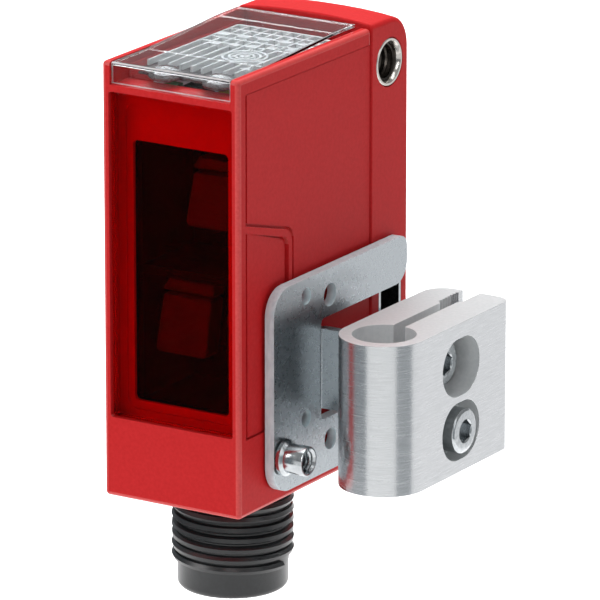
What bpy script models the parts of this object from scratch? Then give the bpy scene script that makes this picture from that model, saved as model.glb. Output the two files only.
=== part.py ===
"""Compact photoelectric sensor on a rod clamp.

Sizes are in metres, +Z is up and the optics look towards -Y. The world's origin is on the axis of the clamp's
rod bore, halfway up the clamp. Places are worked out in the sensor's own frame, whose origin is the middle of
the housing's lower front edge, and every piece is then hung on the empty of the assembly that it moves with.
"""

from math import acos, asin, cos, pi, radians, sin

import bmesh
import bpy
from mathutils import Matrix, Vector

MM = 0.001

# Clearances
GAP = 0.15 * MM  # between pieces that touch or are bonded
RUN = 0.20 * MM  # between pieces that slide or turn on each other

# Housing and rear cap
HOUSING_WIDTH = 15.0 * MM
HOUSING_DEPTH = 30.0 * MM
HOUSING_HEIGHT = 42.1 * MM  # to the rims beside the clear cover
CROWN_RISE = 0.7 * MM  # the cap's crest stands this far above the rims
CAP_DEPTH = 6.65 * MM
WALL = 1.2 * MM
EDGE = 0.5 * MM
CAP_CORNER = 3.0 * MM
PANEL_DEPTH = 0.15 * MM
PANEL_BORDER = 1.2 * MM
PANEL_RIB = 0.6 * MM
PANEL_RIB_Y = 9.0 * MM
PANEL_RIB_Z = 28.0 * MM
PANEL_RIB_FALL = 2.2 * MM

# Front window
WINDOW_RIM = 0.75 * MM
WINDOW_BOTTOM = 7.8 * MM
BAR_HEIGHT = 0.55 * MM  # the red bar between window and clear cover
COVER_FRONT_HEIGHT = 2.25 * MM
POCKET_DEPTH = 1.9 * MM
GLASS_THICKNESS = 1.1 * MM
LEDGE_THICKNESS = 1.2 * MM
APERTURE_WIDTH = 10.2 * MM
APERTURE_BOTTOM = 9.2 * MM
APERTURE_BELOW_RIM = 7.8 * MM

# Clear cover and light guide
COVER_RIM = 0.9 * MM
COVER_THICKNESS = 1.0 * MM
CREST_START = 6.0 * MM
GUIDE_LOBE = 3.3 * MM
GUIDE_SPACING = 5.9 * MM
GUIDE_MIDDLE = 0.6 * MM
GUIDE_WEB = 0.8 * MM
LOBE_LENGTH = 3.6 * MM
BOSS_X = 1.7 * MM
BOSS_Y = 10.3 * MM
BOSS_RADIUS = 1.8 * MM
BOSS_HEIGHT = 0.8 * MM
LED_SIZE = 1.4 * MM
LED_HEIGHT = 0.7 * MM

# Optics
CARRIER_DEPTH = 9.6 * MM
CARRIER_WALL = 0.9 * MM
LENS_RADIUS = 4.7 * MM
LENS_THICKNESS = 2.2 * MM
LENS_EDGE = 0.8 * MM
CHIP_HOLE = 1.3 * MM

# Boards
BOARD = 0.8 * MM

# Plug, M12 x 1, four contacts
PLUG_Y = 10.57 * MM
THREAD_RADIUS = 5.85 * MM
THREAD_PITCH = 1.0 * MM
THREAD_DEPTH = 0.45 * MM
THREAD_LENGTH = 7.5 * MM
NOSE_RADIUS = 5.3 * MM
NOSE_LENGTH = 2.75 * MM
PLUG_BORE = 4.2 * MM
PLUG_NECK = 5.0 * MM
CONTACT_RADIUS = 0.5 * MM
CONTACT_CIRCLE = 2.5 * MM
CONTACT_COUNT = 4

# Through mountings of the cap
SLEEVE_FROM_REAR = 3.5 * MM
SLEEVE_FROM_RIM = 3.95 * MM
SLEEVE_RADIUS = 2.35 * MM
SLEEVE_BORE = 1.75 * MM
SLOT_FROM_REAR = 3.3 * MM
SLOT_LOW = 7.9 * MM
SLOT_HIGH = 17.6 * MM
SLOT_HALF_WIDTH = 1.65 * MM
SLOT_LINING = 0.35 * MM

# Bracket, 1 mm sheet
SHEET = 1.0 * MM
PLATE_FRONT = 4.1 * MM
PLATE_FROM_REAR = 2.1 * MM
PLATE_LOW = 1.4 * MM
PLATE_HIGH = 21.2 * MM
PLATE_CORNER = 2.6 * MM
ARM_LOW = 16.6 * MM
FOOT_HIGH = 6.7 * MM
FOLD_BEHIND_ROD = 1.6 * MM
TONGUE_LOW = 7.9 * MM
TONGUE_HIGH = 15.7 * MM
TONGUE_REACH = 3.4 * MM
TONGUE_PAST_SCREW = 3.7 * MM
BEND = 0.3 * MM
EAR_RADIUS = 2.55 * MM
STANDOFF_Y = 5.8 * MM
STANDOFF_Z = 4.9 * MM
STANDOFF_RADIUS = 1.4 * MM
STANDOFF_BORE = 1.0 * MM
STANDOFF_HEIGHT = 2.6 * MM
SMALL_HOLE = 0.82 * MM
LARGE_HOLE = 1.08 * MM
SMALL_HOLE_BEFORE_FOLD = 2.65 * MM
LARGE_HOLE_BEHIND_FOLD = 1.6 * MM

# Screw through the slot, M3
M3_RADIUS = 1.45 * MM
M3_HEAD = 2.75 * MM
M3_HEAD_HEIGHT = 1.9 * MM
M3_SOCKET = 2.0 * MM
M3_Z = 11.2 * MM
WASHER_RADIUS = 3.4 * MM
WASHER = 0.5 * MM
NUT_HEIGHT = 2.2 * MM
NUT_RADIUS = 2.25 * MM

# Rod clamp
ROD_BORE = 3.0 * MM
CLAMP_WALL = 1.25 * MM
CLAMP_LENGTH = 16.2 * MM  # from the bore's axis to the jaws' ends
CLAMP_HEIGHT = 14.6 * MM
CLAMP_SHARE = 0.36  # of the housing's depth, from its front to the rod
CLAMP_LOW = 2.25 * MM
JAW_SLOT = 1.2 * MM
JAW_SLOT_OFFSET = -0.15 * MM
MOUTH_START = 11.7 * MM
MOUTH_OPEN = 0.35 * MM
TOOTH_PITCH = 0.5 * MM
TOOTH_DEPTH = 0.18 * MM
TOOTH_COUNT = 7
INNER_CORNER = 2.3 * MM
OUTER_CORNER = 1.4 * MM

# Clamp screws, M2.5
CLAMP_SCREW_BEHIND_ROD = 6.9 * MM
CLAMP_SCREW_SPACING = 6.25 * MM
CLAMP_SCREW_DROP = 0.1 * MM
M25_RADIUS = 1.2 * MM
M25_HEAD = 2.15 * MM
M25_HEAD_HEIGHT = 2.5 * MM
M25_SOCKET = 2.0 * MM
COUNTERBORE = 2.8 * MM
COUNTERBORE_SHIFT = 0.55 * MM
HEAD_PROUD = 0.5 * MM
SPACER = 0.5 * MM
HEX_NUT_RADIUS = 2.6 * MM
HEX_NUT_HEIGHT = 1.8 * MM

# Places that follow from the sizes above
SIDE = HOUSING_WIDTH / 2
SEAM = HOUSING_DEPTH - CAP_DEPTH
COVER_FRONT = HOUSING_HEIGHT - COVER_FRONT_HEIGHT
WINDOW_TOP = COVER_FRONT - BAR_HEIGHT
APERTURE_TOP = HOUSING_HEIGHT - APERTURE_BELOW_RIM
SLEEVE_Y = HOUSING_DEPTH - SLEEVE_FROM_REAR
SLEEVE_Z = HOUSING_HEIGHT - SLEEVE_FROM_RIM
SLOT_Y = HOUSING_DEPTH - SLOT_FROM_REAR
PLATE_REAR = HOUSING_DEPTH - PLATE_FROM_REAR
LEDGE_BACK = POCKET_DEPTH + LEDGE_THICKNESS
CARRIER_FRONT = LEDGE_BACK + GAP
CARRIER_BACK = CARRIER_FRONT + CARRIER_DEPTH
DISPLAY_BOARD_Z = COVER_FRONT - LED_HEIGHT - BOARD - 2 * GAP
PLATE_INNER = SIDE + RUN
PLATE_OUTER = PLATE_INNER + SHEET
TONGUE_OUTER = PLATE_OUTER + TONGUE_REACH
CLAMP_RADIUS = ROD_BORE + CLAMP_WALL
CLAMP_Y = CLAMP_SHARE * HOUSING_DEPTH
CLAMP_SCREW_Y = CLAMP_Y + CLAMP_SCREW_BEHIND_ROD
FOLD_Y = CLAMP_Y + FOLD_BEHIND_ROD
TONGUE_END = CLAMP_SCREW_Y + TONGUE_PAST_SCREW
PLATE_HOLES = (
    (FOLD_Y - SMALL_HOLE_BEFORE_FOLD, ARM_LOW + 2.9 * MM, SMALL_HOLE),
    (FOLD_Y + LARGE_HOLE_BEHIND_FOLD, ARM_LOW + 2.0 * MM, LARGE_HOLE),
    (FOLD_Y - SMALL_HOLE_BEFORE_FOLD, FOOT_HIGH + 0.9 * MM, SMALL_HOLE),
    (FOLD_Y + LARGE_HOLE_BEHIND_FOLD, FOOT_HIGH - 2.2 * MM, LARGE_HOLE),
)
CLAMP_X = TONGUE_OUTER + RUN + CLAMP_RADIUS
CLAMP_MIDDLE = CLAMP_LOW + CLAMP_HEIGHT / 2
PIVOT_Z = CLAMP_MIDDLE - CLAMP_SCREW_DROP + CLAMP_SCREW_SPACING / 2
CLAMP_SCREW_Z = PIVOT_Z - CLAMP_SCREW_SPACING

ROD_AXIS = Vector((CLAMP_X, CLAMP_Y, CLAMP_MIDDLE))
PIVOT_AXIS = Vector((TONGUE_OUTER, CLAMP_SCREW_Y, PIVOT_Z))
TILT_AXIS = Vector((SIDE, SLOT_Y, M3_Z))
SENSOR_ORIGIN = Vector((0, 0, 0))

ALONG_X = Matrix.Rotation(radians(90), 4, "Y")
ALONG_Y = Matrix.Rotation(radians(90), 4, "X")

for old in list(bpy.data.objects):
    bpy.data.objects.remove(old, do_unlink=True)

parts = bpy.data.collections.new("photoelectric_sensor")
cutters = bpy.data.collections.new("cutters")
for collection in (parts, cutters):
    bpy.context.scene.collection.children.link(collection)


def material(name, colour, roughness, metallic=0.0, alpha=1.0):
    """A Principled BSDF finish."""
    made = bpy.data.materials.new(name)
    made.use_nodes = True
    shader = made.node_tree.nodes["Principled BSDF"]
    shader.inputs["Base Color"].default_value = (*colour, 1.0)
    shader.inputs["Roughness"].default_value = roughness
    shader.inputs["Metallic"].default_value = metallic
    shader.inputs["Alpha"].default_value = alpha
    return made


RED = (0.50, 0.022, 0.020)
BLACK = (0.012, 0.012, 0.013)
ZINC = (0.55, 0.57, 0.59)
CLEAR = (0.80, 0.84, 0.86)


def empty(name, at, parent=None):
    """An assembly's own frame; its origin is given in the sensor's frame."""
    made = bpy.data.objects.new(name, None)
    made.empty_display_size = 5 * MM
    parts.objects.link(made)
    made["origin"] = at
    made.parent = parent
    made.location = at - (Vector(parent["origin"]) if parent else ROD_AXIS)
    return made


def add(name, mesh, at, group, finish=None, turn=None, collection=parts):
    """Hangs a mesh on an assembly's empty, with its origin at a point of the sensor's frame."""
    made = bpy.data.objects.new(name, mesh)
    collection.objects.link(made)
    made.parent = group
    made.location = Vector(at) - Vector(group["origin"])
    if turn:
        made.rotation_euler = turn.to_euler()
    if finish:
        mesh.materials.append(finish)
    return made


def mesh_from(name, build, smooth=False):
    work = bmesh.new()
    build(work)
    mesh = bpy.data.meshes.new(name)
    work.to_mesh(mesh)
    work.free()
    if smooth:
        mesh.shade_smooth()
        mesh.set_sharp_from_angle(angle=radians(35))
    return mesh


def block(name, width, depth, height):
    """A box centred on its origin."""
    scale = Matrix.Diagonal((width, depth, height, 1.0))
    return mesh_from(name, lambda work: bmesh.ops.create_cube(work, size=1.0, matrix=scale))


def rod(name, radius, length, sides=24, turn=None, tip=None):
    """A cylinder centred on its origin, along Z unless it is turned."""
    return mesh_from(
        name,
        lambda work: bmesh.ops.create_cone(
            work,
            cap_ends=True,
            segments=sides,
            radius1=radius,
            radius2=radius if tip is None else tip,
            depth=length,
            matrix=turn or Matrix(),
        ),
        smooth=True,
    )


def turned(name, profile, at, group, finish=None, sides=24, turn=None, collection=parts):
    """A turned piece: (radius, height) points run down the outer side and back up the inner side."""
    closed = profile[0][0] > 0 and profile[-1][0] > 0
    mesh = bpy.data.meshes.new(name)
    points = [(radius, 0, height) for radius, height in profile]
    edges = [(i, i + 1) for i in range(len(points) - 1)]
    if closed:
        edges.append((len(points) - 1, 0))
    mesh.from_pydata(points, edges, [])
    made = add(name, mesh, at, group, finish, turn, collection)
    spin = made.modifiers.new("Spin", "SCREW")
    spin.steps = spin.render_steps = sides
    spin.use_merge_vertices = True
    spin.merge_threshold = 0.00001
    spin.use_smooth_shade = False
    return made


def arc(middle, radius, start, end, steps):
    """Points on a circle from one angle to the other, both in radians."""
    turns = [start + (end - start) * i / steps for i in range(steps + 1)]
    return [(middle[0] + radius * cos(t), middle[1] + radius * sin(t)) for t in turns]


def rounded(corners, steps=5):
    """An outline from (x, y, radius) corners, with each corner rounded by its radius."""
    outline = []
    for i, (x, y, radius) in enumerate(corners):
        here = Vector((x, y))
        before = Vector(corners[i - 1][:2]) - here
        after = Vector(corners[(i + 1) % len(corners)][:2]) - here
        if radius == 0:
            outline.append((x, y))
            continue
        before.normalize()
        after.normalize()
        half = before.angle(after) / 2
        middle = here + (before + after).normalized() * (radius / sin(half))
        first = here + before * (radius * cos(half) / sin(half)) - middle
        sweep = first.angle_signed(here + after * (radius * cos(half) / sin(half)) - middle)
        for step in range(steps + 1):
            spoke = first.copy()
            spoke.rotate(Matrix.Rotation(-sweep * step / steps, 2))
            outline.append(tuple(middle + spoke))
    return outline


def plate(name, outlines, thickness):
    """A flat mesh in its own XY plane, centred on Z = 0, from closed outlines; inner ones are holes."""
    curve = bpy.data.curves.new(name, "CURVE")
    curve.dimensions = "2D"
    curve.fill_mode = "BOTH"
    curve.extrude = thickness / 2
    for outline in outlines:
        spline = curve.splines.new("POLY")
        spline.points.add(len(outline) - 1)
        for point, (x, y) in zip(spline.points, outline):
            point.co = (x, y, 0, 1)
        spline.use_cyclic_u = True
    source = bpy.data.objects.new(name, curve)
    bpy.context.scene.collection.objects.link(source)
    bpy.context.view_layer.update()
    graph = bpy.context.evaluated_depsgraph_get()
    mesh = bpy.data.meshes.new_from_object(source.evaluated_get(graph))
    bpy.data.objects.remove(source)
    bpy.data.curves.remove(curve)
    work = bmesh.new()
    work.from_mesh(mesh)
    bmesh.ops.remove_doubles(work, verts=work.verts, dist=0.000001)
    bmesh.ops.recalc_face_normals(work, faces=work.faces)
    work.to_mesh(mesh)
    work.free()
    mesh.name = name
    return mesh


def across(mesh):
    """Turns a plate drawn as (Y, Z) so that its thickness lies along X."""
    mesh.transform(Matrix(((0, 0, 1, 0), (1, 0, 0, 0), (0, 1, 0, 0), (0, 0, 0, 1))))
    return mesh


def boolean(target, tool, operation="DIFFERENCE"):
    step = target.modifiers.new(operation.title(), "BOOLEAN")
    step.operation = operation
    step.object = tool
    step.solver = "EXACT"
    tool.hide_render = True
    tool.display_type = "WIRE"


def cut(target, mesh, at, group, turn=None):
    """Cuts a helper shape from a piece."""
    boolean(target, add(f"{target.name}_cut", mesh, at, group, turn=turn, collection=cutters))


def join(target, mesh, at, group, turn=None):
    """Joins a helper shape to a piece."""
    tool = add(f"{target.name}_join", mesh, at, group, turn=turn, collection=cutters)
    boolean(target, tool, "UNION")


def soften(piece, width, segments=2, angle=40):
    """Rounds the piece's edges."""
    step = piece.modifiers.new("Rounded edges", "BEVEL")
    step.width = width
    step.segments = segments
    step.limit_method = "ANGLE"
    step.angle_limit = radians(angle)
    return step


def between(name, low, high):
    """A box from its lowest to its highest corner: its mesh and its centre."""
    low, high = Vector(low), Vector(high)
    return block(name, *(high - low)), (low + high) / 2


def obround(low, high, half_width, steps=8):
    """A slot's outline, drawn as (Y, Z) round Y = 0, from one end to the other."""
    top, bottom = high - half_width, low + half_width
    return arc((0, top), half_width, 0, pi, steps) + arc((0, bottom), half_width, pi, 2 * pi, steps)


# The assemblies, each in the one that holds it
clamp = empty("clamp", ROD_AXIS)
bracket = empty("bracket_pivot", PIVOT_AXIS, clamp)
slot_joint = empty("tilt_pivot", TILT_AXIS, bracket)
sensor = empty("sensor", SENSOR_ORIGIN, slot_joint)


def panel_outlines():
    """The shallow panels of each side as (Y, Z): one above and one below the rib that turns down."""
    top = HOUSING_HEIGHT - PANEL_BORDER
    bend = PANEL_RIB_Z - PANEL_RIB_FALL
    under = PANEL_RIB_Z - PANEL_RIB
    low = WINDOW_BOTTOM
    rear = SEAM - 2 * EDGE
    upper = [
        (PANEL_BORDER, top, 0),
        (PANEL_BORDER, PANEL_RIB_Z, 0),
        (PANEL_RIB_Y, bend, 1.5 * MM),
        (PANEL_RIB_Y, low, 0),
        (rear, low, 0),
        (rear, top, 0),
    ]
    lower = [
        (PANEL_BORDER, under, 0),
        (PANEL_BORDER, low, 0),
        (PANEL_RIB_Y - PANEL_RIB, low, 0),
        (PANEL_RIB_Y - PANEL_RIB, bend - PANEL_RIB, 1.1 * MM),
    ]
    return rounded(upper), rounded(lower)


def make_housing():
    """Front shell: front wall, two sides and floor in one moulding, open at the rear and the top."""
    red = material("red_abs", RED, 0.45)
    mesh, at = between("housing", (-SIDE, 0, 0), (SIDE, SEAM - GAP, HOUSING_HEIGHT))
    shell = add("housing", mesh, at, sensor, red)
    soften(shell, EDGE, 2)
    inside = SIDE - WALL
    high = HOUSING_HEIGHT + WALL
    cover_half = SIDE - COVER_RIM
    ledge_z = HOUSING_HEIGHT - COVER_THICKNESS - GAP
    window_half = SIDE - WINDOW_RIM
    hollows = (
        ((-inside, LEDGE_BACK, WALL), (inside, HOUSING_DEPTH, high)),
        ((-cover_half, -WALL, COVER_FRONT), (cover_half, LEDGE_BACK + GAP, high)),
        ((-cover_half, LEDGE_BACK, ledge_z), (cover_half, HOUSING_DEPTH, high)),
        ((-window_half, -WALL, WINDOW_BOTTOM), (window_half, POCKET_DEPTH, WINDOW_TOP)),
        (
            (-APERTURE_WIDTH / 2, -WALL, APERTURE_BOTTOM),
            (APERTURE_WIDTH / 2, LEDGE_BACK + WALL, APERTURE_TOP),
        ),
    )
    for low, high_corner in hollows:
        cut(shell, *between("hollow", low, high_corner), sensor)
    for outline in panel_outlines():
        for side in (-SIDE, SIDE):
            cut(shell, across(plate("panel", [outline], 2 * PANEL_DEPTH)), (side, 0, 0), sensor)
    cut(shell, rod("plug_hole", PLUG_NECK + GAP, 4 * WALL, 32), (0, PLUG_Y, WALL / 2), sensor)


def cap_outline(inset=0.0):
    """The cap's side view as (Y, Z): a flat seam face, a crowned top and one large rounded rear corner."""
    front = SEAM + inset
    rear = HOUSING_DEPTH - inset
    crown = HOUSING_HEIGHT + CROWN_RISE - inset
    return rounded(
        [
            (front, inset, 0),
            (rear, inset, EDGE),
            (rear, crown - 2 * CROWN_RISE, CAP_CORNER),
            (front + CAP_DEPTH / 2, crown - 0.2 * CROWN_RISE, 0),
            (front, crown, 0),
        ]
    )


def make_rear_cap():
    """Rear shell, welded to the housing along the seam; solid round the mountings, hollow between them."""
    red = material("red_abs_cap", RED, 0.45)
    cap = add("rear_cap", across(plate("rear_cap", [cap_outline()], HOUSING_WIDTH)), (0, 0, 0), sensor, red)
    soften(cap, EDGE, 2, angle=60)
    lip_half = SIDE - WALL - GAP
    lip_low = HOUSING_HEIGHT - 3 * WALL
    lip = between(
        "lip", (-lip_half, SEAM - WALL, lip_low), (lip_half, SEAM + WALL, HOUSING_HEIGHT + 0.9 * CROWN_RISE)
    )
    join(cap, *lip, sensor)
    pocket_low = SLOT_HIGH + SLOT_LINING + WALL
    pocket_high = SLEEVE_Z - SLEEVE_RADIUS - WALL
    rear = HOUSING_DEPTH - WALL
    pocket = between("pocket", (WALL - SIDE, SEAM - WALL, pocket_low), (SIDE - WALL, rear, pocket_high))
    cut(cap, *pocket, sensor)
    length = HOUSING_WIDTH + 4 * WALL
    cut(cap, rod("sleeve_hole", SLEEVE_RADIUS + GAP, length, 28, ALONG_X), (0, SLEEVE_Y, SLEEVE_Z), sensor)
    lining = SLOT_LINING + GAP
    slot = obround(SLOT_LOW - lining, SLOT_HIGH + lining, SLOT_HALF_WIDTH + lining)
    cut(cap, across(plate("slot_hole", [slot], length)), (0, SLOT_Y, 0), sensor)


def make_mounting_sleeves():
    """Metal linings of the two through mountings: a threaded M4 sleeve and a slotted one."""
    nickel = material("nickel_plated_brass", (0.62, 0.60, 0.56), 0.25, 1.0)
    half = HOUSING_WIDTH / 2
    rim = 0.3 * MM
    tube = [
        (SLEEVE_RADIUS, half),
        (SLEEVE_RADIUS, -half),
        (SLEEVE_BORE + rim, -half),
        (SLEEVE_BORE, -half + rim),
        (SLEEVE_BORE, half - rim),
        (SLEEVE_BORE + rim, half),
    ]
    turned("upper_sleeve", tube, (0, SLEEVE_Y, SLEEVE_Z), sensor, nickel, 28, ALONG_X)
    outer = obround(SLOT_LOW - SLOT_LINING, SLOT_HIGH + SLOT_LINING, SLOT_HALF_WIDTH + SLOT_LINING)
    inner = obround(SLOT_LOW, SLOT_HIGH, SLOT_HALF_WIDTH)
    steel = material("steel_lining", (0.56, 0.57, 0.58), 0.3, 1.0)
    lining = across(plate("slot_sleeve", [outer, inner], HOUSING_WIDTH))
    add("slot_sleeve", lining, (0, SLOT_Y, 0), sensor, steel)


def make_front_window():
    """Tinted pane, set back in the housing's front pocket and bonded to its ledge."""
    tint = material("tinted_pmma", (0.20, 0.0, 0.0), 0.05, alpha=0.6)
    half = SIDE - WINDOW_RIM - GAP
    back = POCKET_DEPTH - 2 * GAP
    pane = add(
        "front_window",
        *between(
            "front_window",
            (-half, back - GLASS_THICKNESS, WINDOW_BOTTOM + GAP),
            (half, back, WINDOW_TOP - GAP),
        ),
        sensor,
        tint,
    )
    soften(pane, 0.2 * MM, 2)


def make_optics():
    """Black carrier with a light tube for each half, its two lenses, and the emitter and receiver behind."""
    black = material("black_pbt", BLACK, 0.6)
    acrylic = material("lens_acrylic", (0.75, 0.55, 0.55), 0.05, alpha=0.5)
    inside = SIDE - WALL - GAP
    low, high = APERTURE_BOTTOM - CARRIER_WALL, APERTURE_TOP + CARRIER_WALL
    carrier = add(
        "optics_carrier",
        *between("optics_carrier", (-inside, CARRIER_FRONT, low), (inside, CARRIER_BACK, high)),
        sensor,
        black,
    )
    middle = (APERTURE_BOTTOM + APERTURE_TOP) / 2
    tube_height = middle - CARRIER_WALL / 2 - APERTURE_BOTTOM
    half = APERTURE_WIDTH / 2
    floor = CARRIER_BACK - CARRIER_WALL
    lens_y = CARRIER_FRONT + LENS_THICKNESS + CARRIER_WALL
    optics = ("emitter", APERTURE_BOTTOM + tube_height / 2), ("receiver", APERTURE_TOP - tube_height / 2)
    for name, z in optics:
        light_tube = between(
            "light_tube",
            (-half, CARRIER_FRONT - WALL, z - tube_height / 2),
            (half, floor, z + tube_height / 2),
        )
        cut(carrier, *light_tube, sensor)
        cut(carrier, rod("chip_hole", CHIP_HOLE + GAP, 4 * WALL, 16, ALONG_Y), (0, CARRIER_BACK, z), sensor)
        bulge = LENS_THICKNESS - LENS_EDGE
        radius = (LENS_RADIUS**2 + bulge**2) / (2 * bulge)
        sweep = asin(LENS_RADIUS / radius)
        dome = arc((0, bulge - radius), radius, pi / 2, pi / 2 - sweep, 6)
        profile = [*dome, (LENS_RADIUS, -LENS_EDGE), (0, -LENS_EDGE)]
        turned(f"{name}_lens", profile, (0, lens_y, z), sensor, acrylic, 28, ALONG_Y)
        chip = material(f"{name}_resin", (0.35, 0.02, 0.02) if name == "emitter" else (0.02, 0.02, 0.03), 0.2)
        length = CARRIER_WALL + 2 * GAP
        add(
            f"{name}_diode",
            rod(f"{name}_diode", CHIP_HOLE, length, 16, ALONG_Y),
            (0, CARRIER_BACK + GAP / 2 - length / 2 + GAP, z),
            sensor,
            chip,
        )


def make_boards():
    """Optics board, main board with its two chips, and the display board under the clear cover."""
    laminate = material("green_laminate", (0.02, 0.12, 0.05), 0.4)
    package = material("chip_package", (0.02, 0.02, 0.022), 0.5)
    half = SIDE - WALL - 2 * GAP
    front = CARRIER_BACK + 3 * GAP
    add(
        "optics_board",
        *between("optics_board", (-half, front, APERTURE_BOTTOM), (half, front + BOARD, APERTURE_TOP)),
        sensor,
        laminate,
    )
    main_front = front + BOARD + 4 * GAP
    main_rear = SEAM + WALL
    board_x = -half / 2
    low, high = SLOT_HIGH + 2 * WALL, SLEEVE_Z - SLEEVE_RADIUS - 2 * WALL
    add(
        "main_board",
        *between("main_board", (board_x, main_front, low), (board_x + BOARD, main_rear, high)),
        sensor,
        laminate,
    )
    chip_x = board_x + BOARD + GAP
    chip_y = (main_front + main_rear) / 2
    chips = ("controller_chip", 5.0 * MM, 0.62), ("output_driver_chip", 3.6 * MM, 0.25)
    for name, size, share in chips:
        z = low + share * (high - low)
        add(
            name,
            *between(
                name,
                (chip_x, chip_y - size / 2, z - size / 2),
                (chip_x + 1.0 * MM, chip_y + size / 2, z + size / 2),
            ),
            sensor,
            package,
        )
    rear = SEAM - 2 * WALL
    add(
        "display_board",
        *between(
            "display_board", (-half, LEDGE_BACK + GAP, DISPLAY_BOARD_Z), (half, rear, DISPLAY_BOARD_Z + BOARD)
        ),
        sensor,
        laminate,
    )


def make_plug_link_board():
    """Small round board on the plug's contacts, which takes the supply and the outputs to the main board."""
    laminate = material("green_laminate_link", (0.02, 0.12, 0.05), 0.4)
    z = WALL + PLUG_NECK / 2 + BOARD
    link = add("plug_board", rod("plug_board", PLUG_NECK, BOARD, 28), (0, PLUG_Y, z), sensor, laminate)
    for x, y in contact_places():
        cut(link, rod("contact_hole", CONTACT_RADIUS + GAP, 4 * BOARD, 12), (x, y, z), sensor)


def make_clear_cover():
    """Clear moulding that closes the top, folds down over the front and rises to the cap's crest."""
    clear = material("clear_polycarbonate", CLEAR, 0.05, alpha=0.3)
    half = SIDE - COVER_RIM - GAP
    rear = SEAM - WALL - GAP
    front = GAP
    low = COVER_FRONT + GAP
    top = HOUSING_HEIGHT
    under = top - COVER_THICKNESS
    crest = top + 0.9 * CROWN_RISE
    outline = rounded(
        [
            (front, low, 0),
            (front + COVER_THICKNESS, low, 0),
            (front + COVER_THICKNESS, under, 0),
            (rear, under, 0),
            (rear, crest, 0),
            (rear - WALL, crest, 0),
            (CREST_START, top, 0),
            (front, top, EDGE),
        ]
    )
    add("top_cover", across(plate("top_cover", [outline], 2 * half)), (0, 0, 0), sensor, clear)


def make_light_guide():
    """Clear guide under the cover: a web with a blank round boss, and two lobes down over the lights."""
    clear = material("clear_light_guide", CLEAR, 0.08, alpha=0.5)
    black = material("black_shield", BLACK, 0.5)
    front = 3 * GAP + COVER_THICKNESS
    board_top = DISPLAY_BOARD_Z + BOARD + GAP
    top = HOUSING_HEIGHT - COVER_THICKNESS - GAP
    web_low = top - GUIDE_WEB
    lobe_low = COVER_FRONT + GAP
    lobe_rear = front + LOBE_LENGTH
    web_half = SIDE - WALL - GAP
    web_rear = SEAM - 2 * WALL
    web = between("light_guide", (-web_half, front + EDGE, web_low), (web_half, web_rear, top))
    guide = add("light_guide", *web, sensor, clear)
    boss_height = GUIDE_WEB + BOSS_HEIGHT
    boss = rod("boss", BOSS_RADIUS, boss_height, 24)
    join(guide, boss, (BOSS_X, BOSS_Y, top - boss_height / 2), sensor)
    lights = ("green", -GUIDE_SPACING / 2, (0.05, 0.5, 0.08)), ("yellow", GUIDE_SPACING / 2, (0.8, 0.5, 0.02))
    for name, side, colour in lights:
        x = GUIDE_MIDDLE + side
        outline = rounded(
            [
                (front, lobe_low, GUIDE_LOBE / 5),
                (lobe_rear, lobe_low, GUIDE_LOBE / 5),
                (lobe_rear, top - GUIDE_WEB / 3, 0),
                (front, top - GUIDE_WEB / 3, GUIDE_LOBE / 5),
            ]
        )
        join(guide, across(plate("lobe", [outline], GUIDE_LOBE)), (x, 0, 0), sensor)
        lamp = block(f"{name}_led", LED_SIZE, LED_SIZE, LED_HEIGHT)
        place = (x, (LEDGE_BACK + lobe_rear) / 2 + GAP, board_top + LED_HEIGHT / 2)
        add(f"{name}_led", lamp, place, sensor, material(f"{name}_led", colour, 0.3))
    shield_half = (GUIDE_SPACING - GUIDE_LOBE) / 2 - GAP
    shield_low = (GUIDE_MIDDLE - shield_half, LEDGE_BACK + GAP, board_top)
    shield_high = (GUIDE_MIDDLE + shield_half, lobe_rear, web_low - GAP)
    add("light_shield", *between("light_shield", shield_low, shield_high), sensor, black)


def contact_places():
    """Centres of the plug's contacts on their circle."""
    turns = [2 * pi * i / CONTACT_COUNT for i in range(CONTACT_COUNT)]
    return [(CONTACT_CIRCLE * cos(t), PLUG_Y + CONTACT_CIRCLE * sin(t)) for t in turns]


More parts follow.
